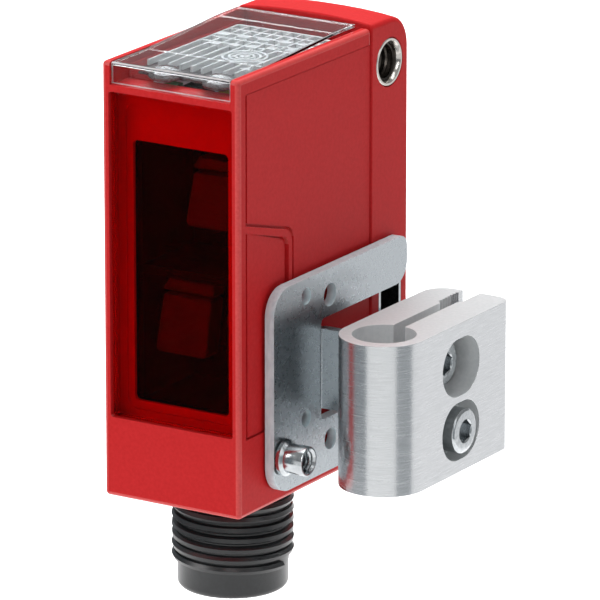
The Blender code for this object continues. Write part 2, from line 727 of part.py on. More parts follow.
def make_plug():
    """M12 plug under the housing: threaded body, contact insert, four gold contacts and the neck's ring."""
    black = material("black_pa", BLACK, 0.5)
    insert_finish = material("insert_pa", (0.02, 0.02, 0.02), 0.6)
    gold = material("gold_plated_brass", (0.83, 0.61, 0.24), 0.25, 1.0)
    rubber = material("seal_rubber", (0.01, 0.01, 0.01), 0.8)
    top = -GAP
    thread_end = top - THREAD_LENGTH
    nose_end = thread_end - NOSE_LENGTH
    shoulder = top - 1.6 * MM
    neck_top = WALL + PLUG_NECK / 2
    seat = PLUG_BORE - 0.6 * MM
    ring = 0.5 * MM
    groove_low, groove_high = WALL + GAP, WALL + GAP + 2 * ring + 2 * GAP
    outer = [(PLUG_NECK, neck_top), (PLUG_NECK, groove_high), (PLUG_NECK - ring, groove_high)]
    outer += [(PLUG_NECK - ring, groove_low), (PLUG_NECK, groove_low), (PLUG_NECK, top)]
    outer.append((THREAD_RADIUS - THREAD_DEPTH, top))
    ridges = int(THREAD_LENGTH / THREAD_PITCH) - 1
    for i in range(ridges):
        start = top - (i + 0.5) * THREAD_PITCH
        root, crest = THREAD_RADIUS - THREAD_DEPTH, THREAD_RADIUS
        outer += [(root, start), (crest, start - 0.35 * THREAD_PITCH), (crest, start - 0.55 * THREAD_PITCH)]
    outer += [(THREAD_RADIUS - THREAD_DEPTH, start - 0.9 * THREAD_PITCH)]
    outer += [(NOSE_RADIUS, thread_end), (NOSE_RADIUS, nose_end + EDGE), (NOSE_RADIUS - EDGE, nose_end)]
    inner = [(PLUG_BORE, nose_end), (PLUG_BORE, shoulder), (seat, shoulder), (seat, neck_top)]
    turned("plug_body", outer + inner, (0, PLUG_Y, 0), sensor, black, 32)

    flange = shoulder - GAP
    insert_profile = [
        (0, neck_top),
        (seat - GAP, neck_top),
        (seat - GAP, flange),
        (PLUG_BORE - GAP, flange),
        (PLUG_BORE - GAP, flange - 0.8 * MM),
        (0, flange - 0.8 * MM),
    ]
    insert = turned("contact_insert", insert_profile, (0, PLUG_Y, 0), sensor, insert_finish, 28)
    contact_low, contact_high = nose_end + 1.0 * MM, neck_top + 3 * MM
    length = contact_high - contact_low
    middle = (contact_low + contact_high) / 2
    tip = CONTACT_RADIUS
    for number, (x, y) in enumerate(contact_places(), 1):
        cut(insert, rod("contact_hole", CONTACT_RADIUS + GAP / 2, 2 * length, 12), (x, y, middle), sensor)
        profile = [(0, length / 2), (tip, length / 2), (tip, tip - length / 2)]
        profile += [(tip * 0.5, -length / 2), (0, -length / 2)]
        turned(f"contact_{number}", profile, (x, y, middle), sensor, gold, 12)

    ring_middle = (groove_low + groove_high) / 2
    seal_radius = PLUG_NECK - ring + GAP + ring
    mesh = bpy.data.meshes.new("plug_seal")
    seal_points = arc((seal_radius, 0), ring, 0, -2 * pi, 8)[:-1]
    mesh.from_pydata([(x, 0, z) for x, z in seal_points], [(i, (i + 1) % 8) for i in range(8)], [])
    seal = add("plug_seal", mesh, (0, PLUG_Y, ring_middle), sensor, rubber)
    spin = seal.modifiers.new("Spin", "SCREW")
    spin.steps = spin.render_steps = 28
    spin.use_merge_vertices = True
    spin.merge_threshold = 0.00001


def make_bracket():
    """Sheet bracket: a fork that lies on the housing's side, with a tongue folded out of it for the clamp."""
    zinc = material("zinc_plated_sheet", ZINC, 0.3, 1.0)
    ear_y, ear_z = SLOT_Y, M3_Z
    ear_top = ear_z + EAR_RADIUS
    ear_corner = 0.98 * EAR_RADIUS
    outline = rounded(
        [
            (PLATE_FRONT, PLATE_LOW, PLATE_CORNER),
            (ear_y + EAR_RADIUS, PLATE_LOW, PLATE_CORNER / 2),
            (ear_y + EAR_RADIUS, ear_top, ear_corner),
            (ear_y - EAR_RADIUS, ear_top, ear_corner),
            (ear_y - EAR_RADIUS, FOOT_HIGH, EDGE),
            (FOLD_Y, FOOT_HIGH, EDGE),
            (FOLD_Y, ARM_LOW, EDGE),
            (PLATE_REAR, ARM_LOW, PLATE_CORNER * 0.8),
            (PLATE_REAR, PLATE_HIGH, PLATE_CORNER / 2),
            (PLATE_FRONT, PLATE_HIGH, PLATE_CORNER),
        ]
    )
    mesh = across(plate("bracket_plate", [outline], SHEET))
    middle_x = (PLATE_INNER + PLATE_OUTER) / 2
    sheet = add("bracket_plate", mesh, (middle_x, 0, 0), bracket, zinc)
    tongue_inner = TONGUE_OUTER - SHEET
    fold = FOLD_Y + SHEET
    tongue = rounded(
        [
            (PLATE_INNER, FOLD_Y - SHEET, 0),
            (PLATE_OUTER, FOLD_Y - SHEET, 0),
            (PLATE_OUTER, FOLD_Y, BEND),
            (TONGUE_OUTER, FOLD_Y, BEND + SHEET),
            (TONGUE_OUTER, TONGUE_END, 0),
            (tongue_inner, TONGUE_END, 0),
            (tongue_inner, fold, BEND),
            (PLATE_INNER, fold, BEND + SHEET),
        ]
    )
    height = TONGUE_HIGH - TONGUE_LOW
    tongue_mesh = plate("tongue", [tongue], height)
    join(sheet, tongue_mesh, (0, 0, (TONGUE_HIGH + TONGUE_LOW) / 2), bracket)
    holes = [*PLATE_HOLES, (STANDOFF_Y, STANDOFF_Z, STANDOFF_BORE + GAP), (ear_y, ear_z, M3_RADIUS + RUN)]
    for y, z, radius in holes:
        cut(sheet, rod("plate_hole", radius, 3 * SHEET, 20, ALONG_X), (middle_x, y, z), bracket)
    place = (TONGUE_OUTER, CLAMP_SCREW_Y, PIVOT_Z)
    cut(sheet, rod("pivot_hole", M25_RADIUS + RUN, 3 * SHEET, 20, ALONG_X), place, bracket)


def bush(name, bore, radius, flange, height, at, group, finish):
    """A pressed-in nut or standoff: a barrel with a thin flange at its foot, standing out along +X."""
    foot = 0.4 * MM
    lead = 0.25 * MM
    profile = [
        (radius, height),
        (radius, foot),
        (flange, foot),
        (flange, 0),
        (bore, 0),
        (bore, height - lead),
        (bore + lead, height),
    ]
    return turned(name, profile, at, group, finish, 24, ALONG_X)


def make_bracket_nuts():
    """Standoff at the plate's front corner, the nut for the slot screw and the nut behind the tongue."""
    steel = material("zinc_plated_steel", (0.60, 0.60, 0.60), 0.25, 1.0)
    face = PLATE_OUTER + GAP
    flange = STANDOFF_RADIUS + 0.35 * MM
    place = (face, STANDOFF_Y, STANDOFF_Z)
    bush("standoff", STANDOFF_BORE, STANDOFF_RADIUS, flange, STANDOFF_HEIGHT, place, bracket, steel)
    bore = M3_RADIUS + RUN
    place = (face, SLOT_Y, M3_Z)
    bush("slot_nut", bore, NUT_RADIUS, NUT_RADIUS + 0.01 * MM, NUT_HEIGHT, place, bracket, steel)
    x = TONGUE_OUTER - SHEET - GAP - HEX_NUT_HEIGHT / 2
    place = (x, CLAMP_SCREW_Y, PIVOT_Z)
    hexagon = rod("pivot_nut", HEX_NUT_RADIUS, HEX_NUT_HEIGHT, 6, ALONG_X)
    nut = add("pivot_nut", hexagon, place, bracket, steel)
    hole = rod("pivot_nut_hole", M25_RADIUS + RUN, 3 * HEX_NUT_HEIGHT, 20, ALONG_X)
    cut(nut, hole, place, bracket)


def cap_screw(name, at, group, finish, shank, head, head_height, length, socket, outward=1):
    """A socket-head screw along X: `at` is the centre of the head's seat, the head lies outward of it."""
    chamfer = 0.25 * MM
    sign = outward
    profile = [
        (0, head_height),
        (head - chamfer, head_height),
        (head, head_height - chamfer),
        (head, 0),
        (shank, 0),
        (shank, chamfer - length),
        (shank - chamfer, -length),
        (0, -length),
    ]
    turn = ALONG_X if sign > 0 else Matrix.Rotation(radians(-90), 4, "Y")
    made = turned(name, profile, at, group, finish, 24, turn)
    depth = 1.3 * MM
    corner = socket / 2 / cos(radians(30))
    recess_x = at[0] + sign * head_height
    hexagon = rod(f"{name}_socket", corner, 2 * depth, 6, ALONG_X)
    cut(made, hexagon, (recess_x, at[1], at[2]), group)
    return made


def washer(name, at, group, finish, bore, radius, thickness):
    """A flat washer on X, centred on `at`."""
    half = thickness / 2
    profile = [(radius, half), (radius, -half), (bore, -half), (bore, half)]
    return turned(name, profile, at, group, finish, 24, ALONG_X)


def make_slot_screw():
    """Screw and washer on the far side, which pass through the slot and hold the sensor on the bracket."""
    steel = material("screw_steel", (0.62, 0.62, 0.62), 0.22, 1.0)
    washer_x = -SIDE - RUN - WASHER / 2
    bore = M3_RADIUS + GAP
    washer("slot_washer", (washer_x, SLOT_Y, M3_Z), slot_joint, steel, bore, WASHER_RADIUS, WASHER)
    seat = washer_x - WASHER / 2 - GAP
    length = PLATE_OUTER + NUT_HEIGHT - seat
    place = (seat, SLOT_Y, M3_Z)
    cap_screw(
        "slot_screw", place, slot_joint, steel, M3_RADIUS, M3_HEAD, M3_HEAD_HEIGHT, length, M3_SOCKET, -1
    )


def jaw_faces():
    """X of the slot's two walls, inner jaw first."""
    middle = CLAMP_X + JAW_SLOT_OFFSET
    return middle - JAW_SLOT / 2, middle + JAW_SLOT / 2


def clamp_outline():
    """The clamp seen from above, round the bore's centre: a round nose and two jaws with a slot between."""
    left = JAW_SLOT_OFFSET - JAW_SLOT / 2
    right = JAW_SLOT_OFFSET + JAW_SLOT / 2
    mouth = left - MOUTH_OPEN
    nose = arc((0, 0), CLAMP_RADIUS, pi, 2 * pi, 24)
    outer = arc(
        (CLAMP_RADIUS - OUTER_CORNER, CLAMP_LENGTH - OUTER_CORNER), OUTER_CORNER, 0, pi / 2, 6
    )
    bore = arc((0, 0), ROD_BORE, acos(right / ROD_BORE), acos(left / ROD_BORE) - 2 * pi, 36)
    teeth = [(mouth, MOUTH_START)]
    for i in range(TOOTH_COUNT):
        start = MOUTH_START + (i + 0.4) * TOOTH_PITCH
        teeth += [
            (mouth, start),
            (mouth - TOOTH_DEPTH, start + 0.15 * TOOTH_PITCH),
            (mouth - TOOTH_DEPTH, start + 0.5 * TOOTH_PITCH),
            (mouth, start + 0.65 * TOOTH_PITCH),
        ]
    inner = arc(
        (INNER_CORNER - CLAMP_RADIUS, CLAMP_LENGTH - INNER_CORNER), INNER_CORNER, pi / 2, pi, 8
    )
    right_wall = [(right, CLAMP_LENGTH)]
    left_wall = [(left, MOUTH_START - MOUTH_OPEN)] + teeth + [(mouth, CLAMP_LENGTH)]
    return nose + outer + right_wall + bore + left_wall + inner


def make_clamp():
    """Extruded aluminium rod clamp and the screw that closes its jaws on the rod."""
    aluminium = material("satin_aluminium", (0.72, 0.73, 0.74), 0.35, 1.0)
    steel = material("clamp_screw_steel", (0.62, 0.62, 0.62), 0.22, 1.0)
    middle = (CLAMP_X, CLAMP_Y, CLAMP_MIDDLE)
    body = add("clamp_block", plate("clamp_block", [clamp_outline()], CLAMP_HEIGHT), middle, clamp, aluminium)
    inner_face, outer_face = jaw_faces()
    outside = CLAMP_X + CLAMP_RADIUS
    seat = outside + HEAD_PROUD - M25_HEAD_HEIGHT
    floor = seat - GAP
    shank_hole = M25_RADIUS + RUN
    for z, deepest in ((PIVOT_Z, (inner_face + outer_face) / 2), (CLAMP_SCREW_Z, floor)):
        pocket = obround(
            -COUNTERBORE - COUNTERBORE_SHIFT, COUNTERBORE + COUNTERBORE_SHIFT, COUNTERBORE
        )
        pocket = [(v, u) for u, v in pocket][::-1]
        reach = outside + 2 * MM - deepest
        cut(
            body,
            across(plate("counterbore", [pocket], reach)),
            (deepest + reach / 2, CLAMP_SCREW_Y, z),
            clamp,
        )
        through = rod("screw_hole", shank_hole, 3 * CLAMP_RADIUS, 20, ALONG_X)
        cut(body, through, (CLAMP_X, CLAMP_SCREW_Y, z), clamp)
    length = seat - (CLAMP_X - CLAMP_RADIUS) - 2 * GAP
    place = (seat, CLAMP_SCREW_Y, CLAMP_SCREW_Z)
    cap_screw("clamp_screw", place, clamp, steel, M25_RADIUS, M25_HEAD, M25_HEAD_HEIGHT, length, M25_SOCKET)


def make_pivot_screw():
    """Screw through the inner jaw into the tongue's nut: the bracket swivels on the clamp about it."""
    steel = material("pivot_screw_steel", (0.62, 0.62, 0.62), 0.22, 1.0)
    inner_face, _ = jaw_faces()
    washer_x = inner_face + RUN + SPACER / 2
    bore = M25_RADIUS + GAP
    place = (washer_x, CLAMP_SCREW_Y, PIVOT_Z)
    washer("pivot_washer", place, bracket, steel, bore, M25_HEAD + 0.25 * MM, SPACER)
    seat = washer_x + SPACER / 2 + GAP
    length = seat - (TONGUE_OUTER - SHEET) + 2.2 * MM
    place = (seat, CLAMP_SCREW_Y, PIVOT_Z)
    cap_screw("pivot_screw", place, bracket, steel, M25_RADIUS, M25_HEAD, M25_HEAD_HEIGHT, length, M25_SOCKET)


make_housing()
make_rear_cap()
make_mounting_sleeves()
make_front_window()
make_optics()
make_boards()
make_plug_link_board()
make_clear_cover()
make_light_guide()
make_plug()
make_bracket()
make_bracket_nuts()
make_slot_screw()
make_clamp()
make_pivot_screw()
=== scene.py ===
# %% [markdown]
# # A compact photoelectric sensor on its rod clamp
# The sensor is a red moulded box with a dark red window for the light beam, a clear cover over two status
# lights and a round threaded plug underneath. A folded sheet bracket lies on its side, and an aluminium
# clamp carries the bracket on a 6 mm rod. The engineering solids are loaded first and never move. Each
# cell then dresses one of them: some only need a good finish, and others are built again with the edges
# and small forms a maker would see.

from math import atan2, cos, pi, radians, sin, sqrt

import bmesh
import bpy
from mathutils import Matrix, Vector


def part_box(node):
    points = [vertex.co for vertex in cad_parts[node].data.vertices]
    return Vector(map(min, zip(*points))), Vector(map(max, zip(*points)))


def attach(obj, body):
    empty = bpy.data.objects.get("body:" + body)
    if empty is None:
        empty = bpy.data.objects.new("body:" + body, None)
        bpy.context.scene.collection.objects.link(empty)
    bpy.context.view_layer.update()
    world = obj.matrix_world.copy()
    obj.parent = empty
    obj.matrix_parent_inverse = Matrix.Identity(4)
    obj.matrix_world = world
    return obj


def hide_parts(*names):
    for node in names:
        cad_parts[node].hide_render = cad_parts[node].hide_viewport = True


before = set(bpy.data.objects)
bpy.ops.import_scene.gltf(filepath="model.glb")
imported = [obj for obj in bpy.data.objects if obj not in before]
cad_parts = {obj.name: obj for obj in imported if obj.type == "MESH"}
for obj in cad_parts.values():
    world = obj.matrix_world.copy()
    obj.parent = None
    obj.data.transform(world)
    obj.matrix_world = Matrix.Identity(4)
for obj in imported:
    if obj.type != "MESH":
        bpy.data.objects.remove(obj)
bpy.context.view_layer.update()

# %% [markdown]
# ## One place to measure from
# Drawings of a housing like this one are dimensioned from its front lower edge, so that is where this
# lesson measures from too. Every size below is in millimetres from the middle of that edge: X to the
# right, Y towards the rear, Z up. One helper turns such a place into the model's metres.

# %% Measuring helper
MM = 0.001
housing_low, housing_high = (Vector(corner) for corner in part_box("housing"))
CORNER = Vector(((housing_low.x + housing_high.x) / 2, housing_low.y, housing_low.z))


def at(x, y, z):
    """A place in the model, from millimetres measured at the housing's front lower edge."""
    return CORNER + Vector((x, y, z)) * MM


def size_of(name):
    """A node's lowest and highest corner in the same millimetres."""
    low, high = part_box(name)
    return tuple((Vector(corner) - CORNER) / MM for corner in (low, high))


WIDTH, DEPTH, HEIGHT = (housing_high - housing_low) / MM
SIDE = WIDTH / 2
print(f"front shell {WIDTH:.1f} x {DEPTH:.1f} x {HEIGHT:.1f} mm")

# %% [markdown]
# ## Colours and nodes
# Colours are written as the hex values a colour picker gives, which are sRGB. Blender's shaders want
# linear light, so one function converts them. Another adds a node, sets it up and links it, and is all
# that the materials need.


# %% Colour and node helpers
def linear(hex_colour):
    """An sRGB hex colour as linear RGBA."""
    channels = [int(hex_colour[i : i + 2], 16) / 255 for i in (1, 3, 5)]
    return (*[c / 12.92 if c <= 0.04045 else ((c + 0.055) / 1.055) ** 2.4 for c in channels], 1.0)


def add_node(tree, kind, inputs=None, **settings):
    """Adds a node; an input's value may be a constant or another node's output socket."""
    made = tree.nodes.new(kind)
    for name, value in settings.items():
        setattr(made, name, value)
    for name, value in (inputs or {}).items():
        if isinstance(value, bpy.types.NodeSocket):
            tree.links.new(value, made.inputs[name])
        else:
            made.inputs[name].default_value = value
    return made


# %% [markdown]
# Up close no surface is one even colour: pigment, plating and tool marks all wander a little. One recipe
# serves every finish here. A noise pattern with a real size in millimetres moves the colour between two
# shades and the shine between two roughness values, and a finer one raises the grain. It reads the
# piece's own coordinates, so it stays put when the piece moves.


# %% Finish recipe
def new_finish(name, shades, scale_mm, shine=None, relief=None, stretch=(1, 1, 1), detail=2.0, **constants):
    """A finish: two hex shades, the shine's two roughness values, and relief as (scale, depth) in mm."""
    made = bpy.data.materials.new(name)
    made.use_nodes = True
    tree = made.node_tree
    shader = tree.nodes["Principled BSDF"]
    for socket, value in constants.items():
        shader.inputs[socket.replace("_", " ")].default_value = value
    coordinates = add_node(tree, "ShaderNodeTexCoord").outputs["Object"]
    place = add_node(tree, "ShaderNodeMapping", {"Vector": coordinates, "Scale": stretch}).outputs["Vector"]
    size = {"Vector": place, "Scale": 1 / (scale_mm * MM), "Detail": detail}
    pattern = add_node(tree, "ShaderNodeTexNoise", size).outputs["Fac"]
    if len(shades) == 1:
        shader.inputs["Base Color"].default_value = linear(shades[0])
    else:
        mix = add_node(tree, "ShaderNodeValToRGB", {"Fac": pattern})
        for stop, position, shade in zip(mix.color_ramp.elements, (0.3, 0.7), shades):
            stop.position, stop.color = position, linear(shade)
        tree.links.new(mix.outputs["Color"], shader.inputs["Base Color"])
    if shine:
        ends = {"Value": pattern, "From Min": 0.3, "From Max": 0.7, "To Min": shine[0], "To Max": shine[1]}
        spread = add_node(tree, "ShaderNodeMapRange", ends)
        tree.links.new(spread.outputs["Result"], shader.inputs["Roughness"])
    if relief:
        fine = {"Vector": place, "Scale": 1 / (relief[0] * MM), "Detail": detail}
        height = add_node(tree, "ShaderNodeTexNoise", fine).outputs["Fac"]
        bump = add_node(tree, "ShaderNodeBump", {"Height": height, "Distance": relief[1] * MM})
        tree.links.new(bump.outputs["Normal"], shader.inputs["Normal"])
    return made


# %% [markdown]
# ## Finishes
# Each finish starts from the real stuff: how it is coloured and what the last tool to touch it left
# behind. Some edges, the light guide's ribs and the sleeve's thread also carry painted highlight or
# painted shade. The housing comes out of a spark-eroded mould, which leaves an even fine grain that
# scatters the light. The clamp is an extrusion that was tumbled and brushed. The bracket's sheet is zinc
# plated, so it is a bluish mirror with a faint rolling grain. Grains finer than a tenth of a millimetre
# are drawn a little coarser than life so they show.

# %% Plastics
# Moulded PBT/ABS blend, mould grain about 0.12 mm: gives the red its soft, slightly dusty highlight.
red_plastic = new_finish(
    "moulded_red_pbt",
    ("#B01C1E", "#B92224"),
    0.35,
    relief=(0.13, 0.006),
    Roughness=0.42,
    IOR=1.55,
    Specular_IOR_Level=0.07,
)

# The same moulding along its edge radii, where the mould is stoned smooth: glossier, and painted paler as a
# highlight, so every edge draws a fine light line.
red_edge_painted_highlight = new_finish(
    "red_pbt_edge_painted_highlight", ("#BC3535", "#C74340"), 0.25, shine=(0.35, 0.45), IOR=1.55, Specular_IOR_Level=0.3
)

# Glass-filled polyamide, tumbled: nearly black, with a soft sheen that shows the thread's crests.
grey_polyamide = new_finish(
    "glass_filled_polyamide",
    ("#131516", "#1B1D1F"),
    0.3,
    relief=(0.15, 0.004),
    Roughness=0.33,
    IOR=1.53,
    Specular_IOR_Level=0.5,
)

# Matt black PBT of the optics carrier: swallows stray light.
black_plastic = new_finish(
    "black_pbt", ("#040303", "#070606"), 0.4, Roughness=0.7, IOR=1.55, Specular_IOR_Level=0.05
)

# Nitrile rubber seal: nearly black and dull.
seal_rubber = new_finish("nitrile_rubber", ("#101010", "#181818"), 0.5, Roughness=0.85, IOR=1.52)

# %% Clear and tinted plastics
# Cast red acrylic with an anti-reflection coat, hence the low index: it lets deep red through, hides what
# is black behind it and hardly mirrors the tent.
red_pane = new_finish(
    "coated_cast_red_acrylic", ("#F00702",), 6.0, shine=(0.1, 0.13), IOR=1.13, Transmission_Weight=1.0
)

# Injection-moulded polycarbonate of the cover: water clear. Its index is drawn low, so that the guide
# underneath is not lost behind the tent's reflection.
clear_plastic = new_finish(
    "clear_polycarbonate",
    ("#F6FAFC",),
    3.0,
    shine=(0.01, 0.03),
    relief=(2.5, 0.001),
    IOR=1.2,
    Transmission_Weight=1.0,
)

# The cover's edges: a pale painted highlight on the mould radii and parting lines, so the clear cover is
# outlined in pale lines.
clear_cover_painted_highlight = new_finish(
    "polycarbonate_edge_painted_highlight",
    ("#C9C2C3", "#DDD9DA"),
    0.3,
    shine=(0.3, 0.45),
    IOR=1.3,
    Transmission_Weight=0.3,
)

# The light guide's polycarbonate is a little milky, over the dim inside of the housing.
guide_plastic = new_finish(
    "diffusing_polycarbonate",
    ("#857A7A", "#A39A9A"),
    1.1,
    shine=(0.08, 0.16),
    IOR=1.5,
    Transmission_Weight=0.7,
)

# Its rails, ribs and facets: near-white, a painted highlight that makes them much brighter than the web.
guide_painted_highlight = new_finish(
    "guide_polycarbonate_painted_highlight",
    ("#F4F6F7", "#FFFFFF"),
    0.7,
    shine=(0.1, 0.2),
    relief=(0.5, 0.01),
    IOR=1.5,
    Transmission_Weight=0.1,
)

# Coated acrylic of the lens blocks: dark, with just enough body to show behind the red pane.
lens_plastic = new_finish(
    "coated_lens_acrylic", ("#2C1F1F", "#382A2A"), 2.5, shine=(0.35, 0.45), IOR=1.49, Specular_IOR_Level=0.1
)

# %% Metals
# Extruded aluminium, brushed round the profile: fine level streaks under upright bands of light.
brushed_aluminium = new_finish(
    "brushed_aluminium",
    ("#CBCDCF", "#D6D8DA"),
    1.6,
    shine=(0.22, 0.28),
    relief=(1.6, 0.0022),
    stretch=(1, 1, 16),
    detail=4.0,
    Metallic=1.0,
)

# The same aluminium where it is sawn to length, bored and milled: a fine matt tooth that evens out the
# light.
sawn_aluminium = new_finish("sawn_aluminium", ("#D2D5D6", "#DCDEDF"), 0.35, shine=(0.4, 0.5), Metallic=0.5)

# Zinc-plated cold-rolled sheet: bluish and quite smooth, with a faint cloudiness.
zinc_sheet = new_finish(
    "zinc_plated_sheet",
    ("#B1B7BB", "#B5BBBF"),
    0.5,
    shine=(0.265, 0.29),
    detail=3.0,
    Metallic=1.0,
)

# The sheet's sheared edges: torn rather than cut, so they scatter the light; their paler, bluish colour is a
# painted highlight.
sheared_edge_painted_highlight = new_finish(
    "sheared_steel_edge_painted_highlight", ("#BDD0D6", "#D3E2E6"), 0.3, shine=(0.35, 0.5), stretch=(1, 1, 0.3), Metallic=0.2
)

# Bright zinc on turned steel: hard, mirror-like glints on the screws and the standoff.
bright_steel = new_finish(
    "bright_zinc_on_steel", ("#B2B6B9", "#C4C8CA"), 0.4, shine=(0.14, 0.22), detail=3.0, Metallic=1.0
)

# Nickel on brass: a slightly warmer, whiter mirror for the sleeve.
nickel_brass = new_finish(
    "nickel_plated_brass", ("#C3BFB9", "#D0CCC6"), 0.6, shine=(0.15, 0.22), Metallic=1.0
)

# Thread inside the bore: brown-grey and much darker than the rim, as painted shade in the deep hole.
thread_painted_shade = new_finish("brass_thread_painted_shade", ("#4A4541", "#5A544E"), 0.4, shine=(0.25, 0.35), Metallic=1.0)

# Gold flash on the contacts.
gold_plating = new_finish("gold_plated_brass", ("#D9A94F", "#E6BC66"), 0.6, shine=(0.18, 0.26), Metallic=1.0)

# %% Electronics
# Solder mask over copper: glossy green with a faint weave.
solder_mask = new_finish("green_solder_mask", ("#0E4A26", "#145C30"), 0.9, Roughness=0.3)

# White solder mask of the display board: throws the lamps' light up into the guide.
white_mask = new_finish("white_solder_mask", ("#BFC0C0", "#D0D1D1"), 0.9, Roughness=0.35)

# Chip packages: dull filled epoxy.
chip_epoxy = new_finish("filled_epoxy", ("#161617", "#1F1F20"), 0.2, Roughness=0.55)

# Lamp resins, unlit.
green_resin = new_finish("green_lamp_resin", ("#3E8A48", "#4F9C57"), 0.6, Roughness=0.2)
yellow_resin = new_finish("yellow_lamp_resin", ("#C99A2C", "#D8AC3C"), 0.6, Roughness=0.2)
red_resin = new_finish("red_emitter_resin", ("#6E1413", "#7E1B1A"), 0.6, Roughness=0.2)

CAD_FINISHES = {
    "optics_carrier": black_plastic,
    "emitter_diode": red_resin,
    "receiver_diode": chip_epoxy,
    "optics_board": solder_mask,
    "main_board": solder_mask,
    "display_board": white_mask,
    "plug_board": solder_mask,
    "controller_chip": chip_epoxy,
    "output_driver_chip": chip_epoxy,
    "light_shield": black_plastic,
    "green_led": green_resin,
    "yellow_led": yellow_resin,
    "contact_1": gold_plating,
    "contact_2": gold_plating,
    "contact_3": gold_plating,
    "contact_4": gold_plating,
    "contact_insert": grey_polyamide,
    "plug_seal": seal_rubber,
    "slot_nut": bright_steel,
    "pivot_nut": bright_steel,
    "pivot_washer": bright_steel,
    "slot_washer": bright_steel,
}
for node_name, finish in CAD_FINISHES.items():
    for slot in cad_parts[node_name].material_slots:
        slot.material = finish
print(len(CAD_FINISHES), "engineering solids keep their shape and take a finish")

# %% [markdown]
# ## Shop tools
# A few helpers stand in for workshop operations: a prism is a profile cut to length, a turned piece comes
# off the lathe, carving and fusing are milling and welding, and softening breaks the edges. All of them
# work on meshes whose points are already in place, so every finished object sits unturned at the origin.


# %% Shop helpers
def object_from(name, work):
    """Closes a bmesh into an object, with its doubles merged and its faces outward."""
    bmesh.ops.remove_doubles(work, verts=work.verts, dist=1e-7)
    bmesh.ops.recalc_face_normals(work, faces=work.faces)
    mesh = bpy.data.meshes.new(name)
    work.to_mesh(mesh)
    work.free()
    made = bpy.data.objects.new(name, mesh)
    bpy.context.scene.collection.objects.link(made)
    return made


def prism(name, outline, axis, low, high):
    """A profile cut to length: (Y, Z) points along X, (X, Z) along Y or (X, Y) along Z."""
    place = {
        "X": lambda a, b, along: at(along, a, b),
        "Y": lambda a, b, along: at(a, along, b),
        "Z": lambda a, b, along: at(a, b, along),
    }[axis]
    work = bmesh.new()
    ends = [[work.verts.new(place(a, b, along)) for a, b in outline] for along in (low, high)]
    for end in ends:
        work.faces.new(end)
    for i in range(len(outline)):
        j = (i + 1) % len(outline)
        work.faces.new((ends[0][i], ends[0][j], ends[1][j], ends[1][i]))
    return object_from(name, work)


def box(name, low, high):
    """A block between two corners."""
    corners = [(low[0], low[1]), (high[0], low[1]), (high[0], high[1]), (low[0], high[1])]
    return prism(name, corners, "Z", low[2], high[2])


def lathe(name, profile, centre, axis, steps=64):
    """Turns (radius, along) points about an axis through a centre; an open profile must end on the axis."""
    along = {"X": Vector((1, 0, 0)), "Y": Vector((0, 1, 0)), "Z": Vector((0, 0, 1))}[axis]
    out = Vector((0, 0, 1)) if axis == "X" else Vector((1, 0, 0))
    work = bmesh.new()
    rings = []
    for step in range(steps):
        turn = Matrix.Rotation(2 * pi * step / steps, 3, along)
        rings.append([work.verts.new(centre + (turn @ out) * r * MM + along * s * MM) for r, s in profile])
    closed = profile[0][0] > 0
    last = len(profile) if closed else len(profile) - 1
    for here, there in zip(rings, rings[1:] + rings[:1]):
        for i in range(last):
            j = (i + 1) % len(profile)
            corners = [here[i], there[i], there[j], here[j]]
            if profile[i][0] == 0:
                corners.remove(there[i])
            if profile[j][0] == 0:
                corners.remove(there[j])
            work.faces.new(corners)
    return object_from(name, work)


def bore(name, radius, centre, axis, length, steps=48):
    """A plain round cutter through a centre."""
    half = length / 2
    return lathe(name, [(0, half), (radius, half), (radius, -half), (0, -half)], centre, axis, steps)


def baked(piece):
    """Turns a piece's modifiers into plain mesh."""
    bpy.context.view_layer.update()
    graph = bpy.context.evaluated_depsgraph_get()
    mesh = bpy.data.meshes.new_from_object(piece.evaluated_get(graph))
    piece.modifiers.clear()
    piece.data = mesh
    return piece


def combine(piece, tools, operation):
    for tool in tools:
        step = piece.modifiers.new(operation, "BOOLEAN")
        step.operation, step.object, step.solver = operation, tool, "EXACT"
    baked(piece)
    for tool in tools:
        bpy.data.objects.remove(tool)
    return piece


def carve(piece, *tools):
    return combine(piece, tools, "DIFFERENCE")


def fuse(piece, *tools):
    return combine(piece, tools, "UNION")


def soften(piece, width, segments=3, angle=35):
    """Breaks the edges sharper than an angle and smooths the shading across them."""
    edge = piece.modifiers.new("Edges", "BEVEL")
    edge.width, edge.segments, edge.limit_method = width * MM, segments, "ANGLE"
    edge.angle_limit, edge.use_clamp_overlap = radians(angle), True
    smooth_shading(piece, 40)
    return piece


def smooth_shading(piece, angle=40):
    """Smooth shading on rounds, with flat faces kept flat."""
    baked(piece)
    piece.data.shade_smooth()
    piece.data.set_sharp_from_angle(angle=radians(angle))
    weighted = piece.modifiers.new("Flat faces stay flat", "WEIGHTED_NORMAL")
    weighted.keep_sharp = True
    return baked(piece)


def arc(centre, radius, start, end, steps):
    """Points on a circle between two angles in degrees."""
    turns = [radians(start + (end - start) * i / steps) for i in range(steps + 1)]
    return [(centre[0] + radius * cos(t), centre[1] + radius * sin(t)) for t in turns]


def rounded(corners, steps=8):
    """An outline from (a, b, radius) corners."""
    outline = []
    for i, (a, b, radius) in enumerate(corners):
        here = Vector((a, b))
        before = (Vector(corners[i - 1][:2]) - here).normalized()
        after = (Vector(corners[(i + 1) % len(corners)][:2]) - here).normalized()
        if radius == 0:
            outline.append((a, b))
            continue
        half = before.angle(after) / 2
        middle = here + (before + after).normalized() * (radius / sin(half))
        first = here + before * (radius * cos(half) / sin(half)) - middle
        last = here + after * (radius * cos(half) / sin(half)) - middle
        start, end = atan2(first.y, first.x), atan2(last.y, last.x)
        if end - start > pi:
            end -= 2 * pi
        if start - end > pi:
            end += 2 * pi
        for step in range(steps + 1):
            turn = start + (end - start) * step / steps
            outline.append((middle.x + radius * cos(turn), middle.y + radius * sin(turn)))
    return outline


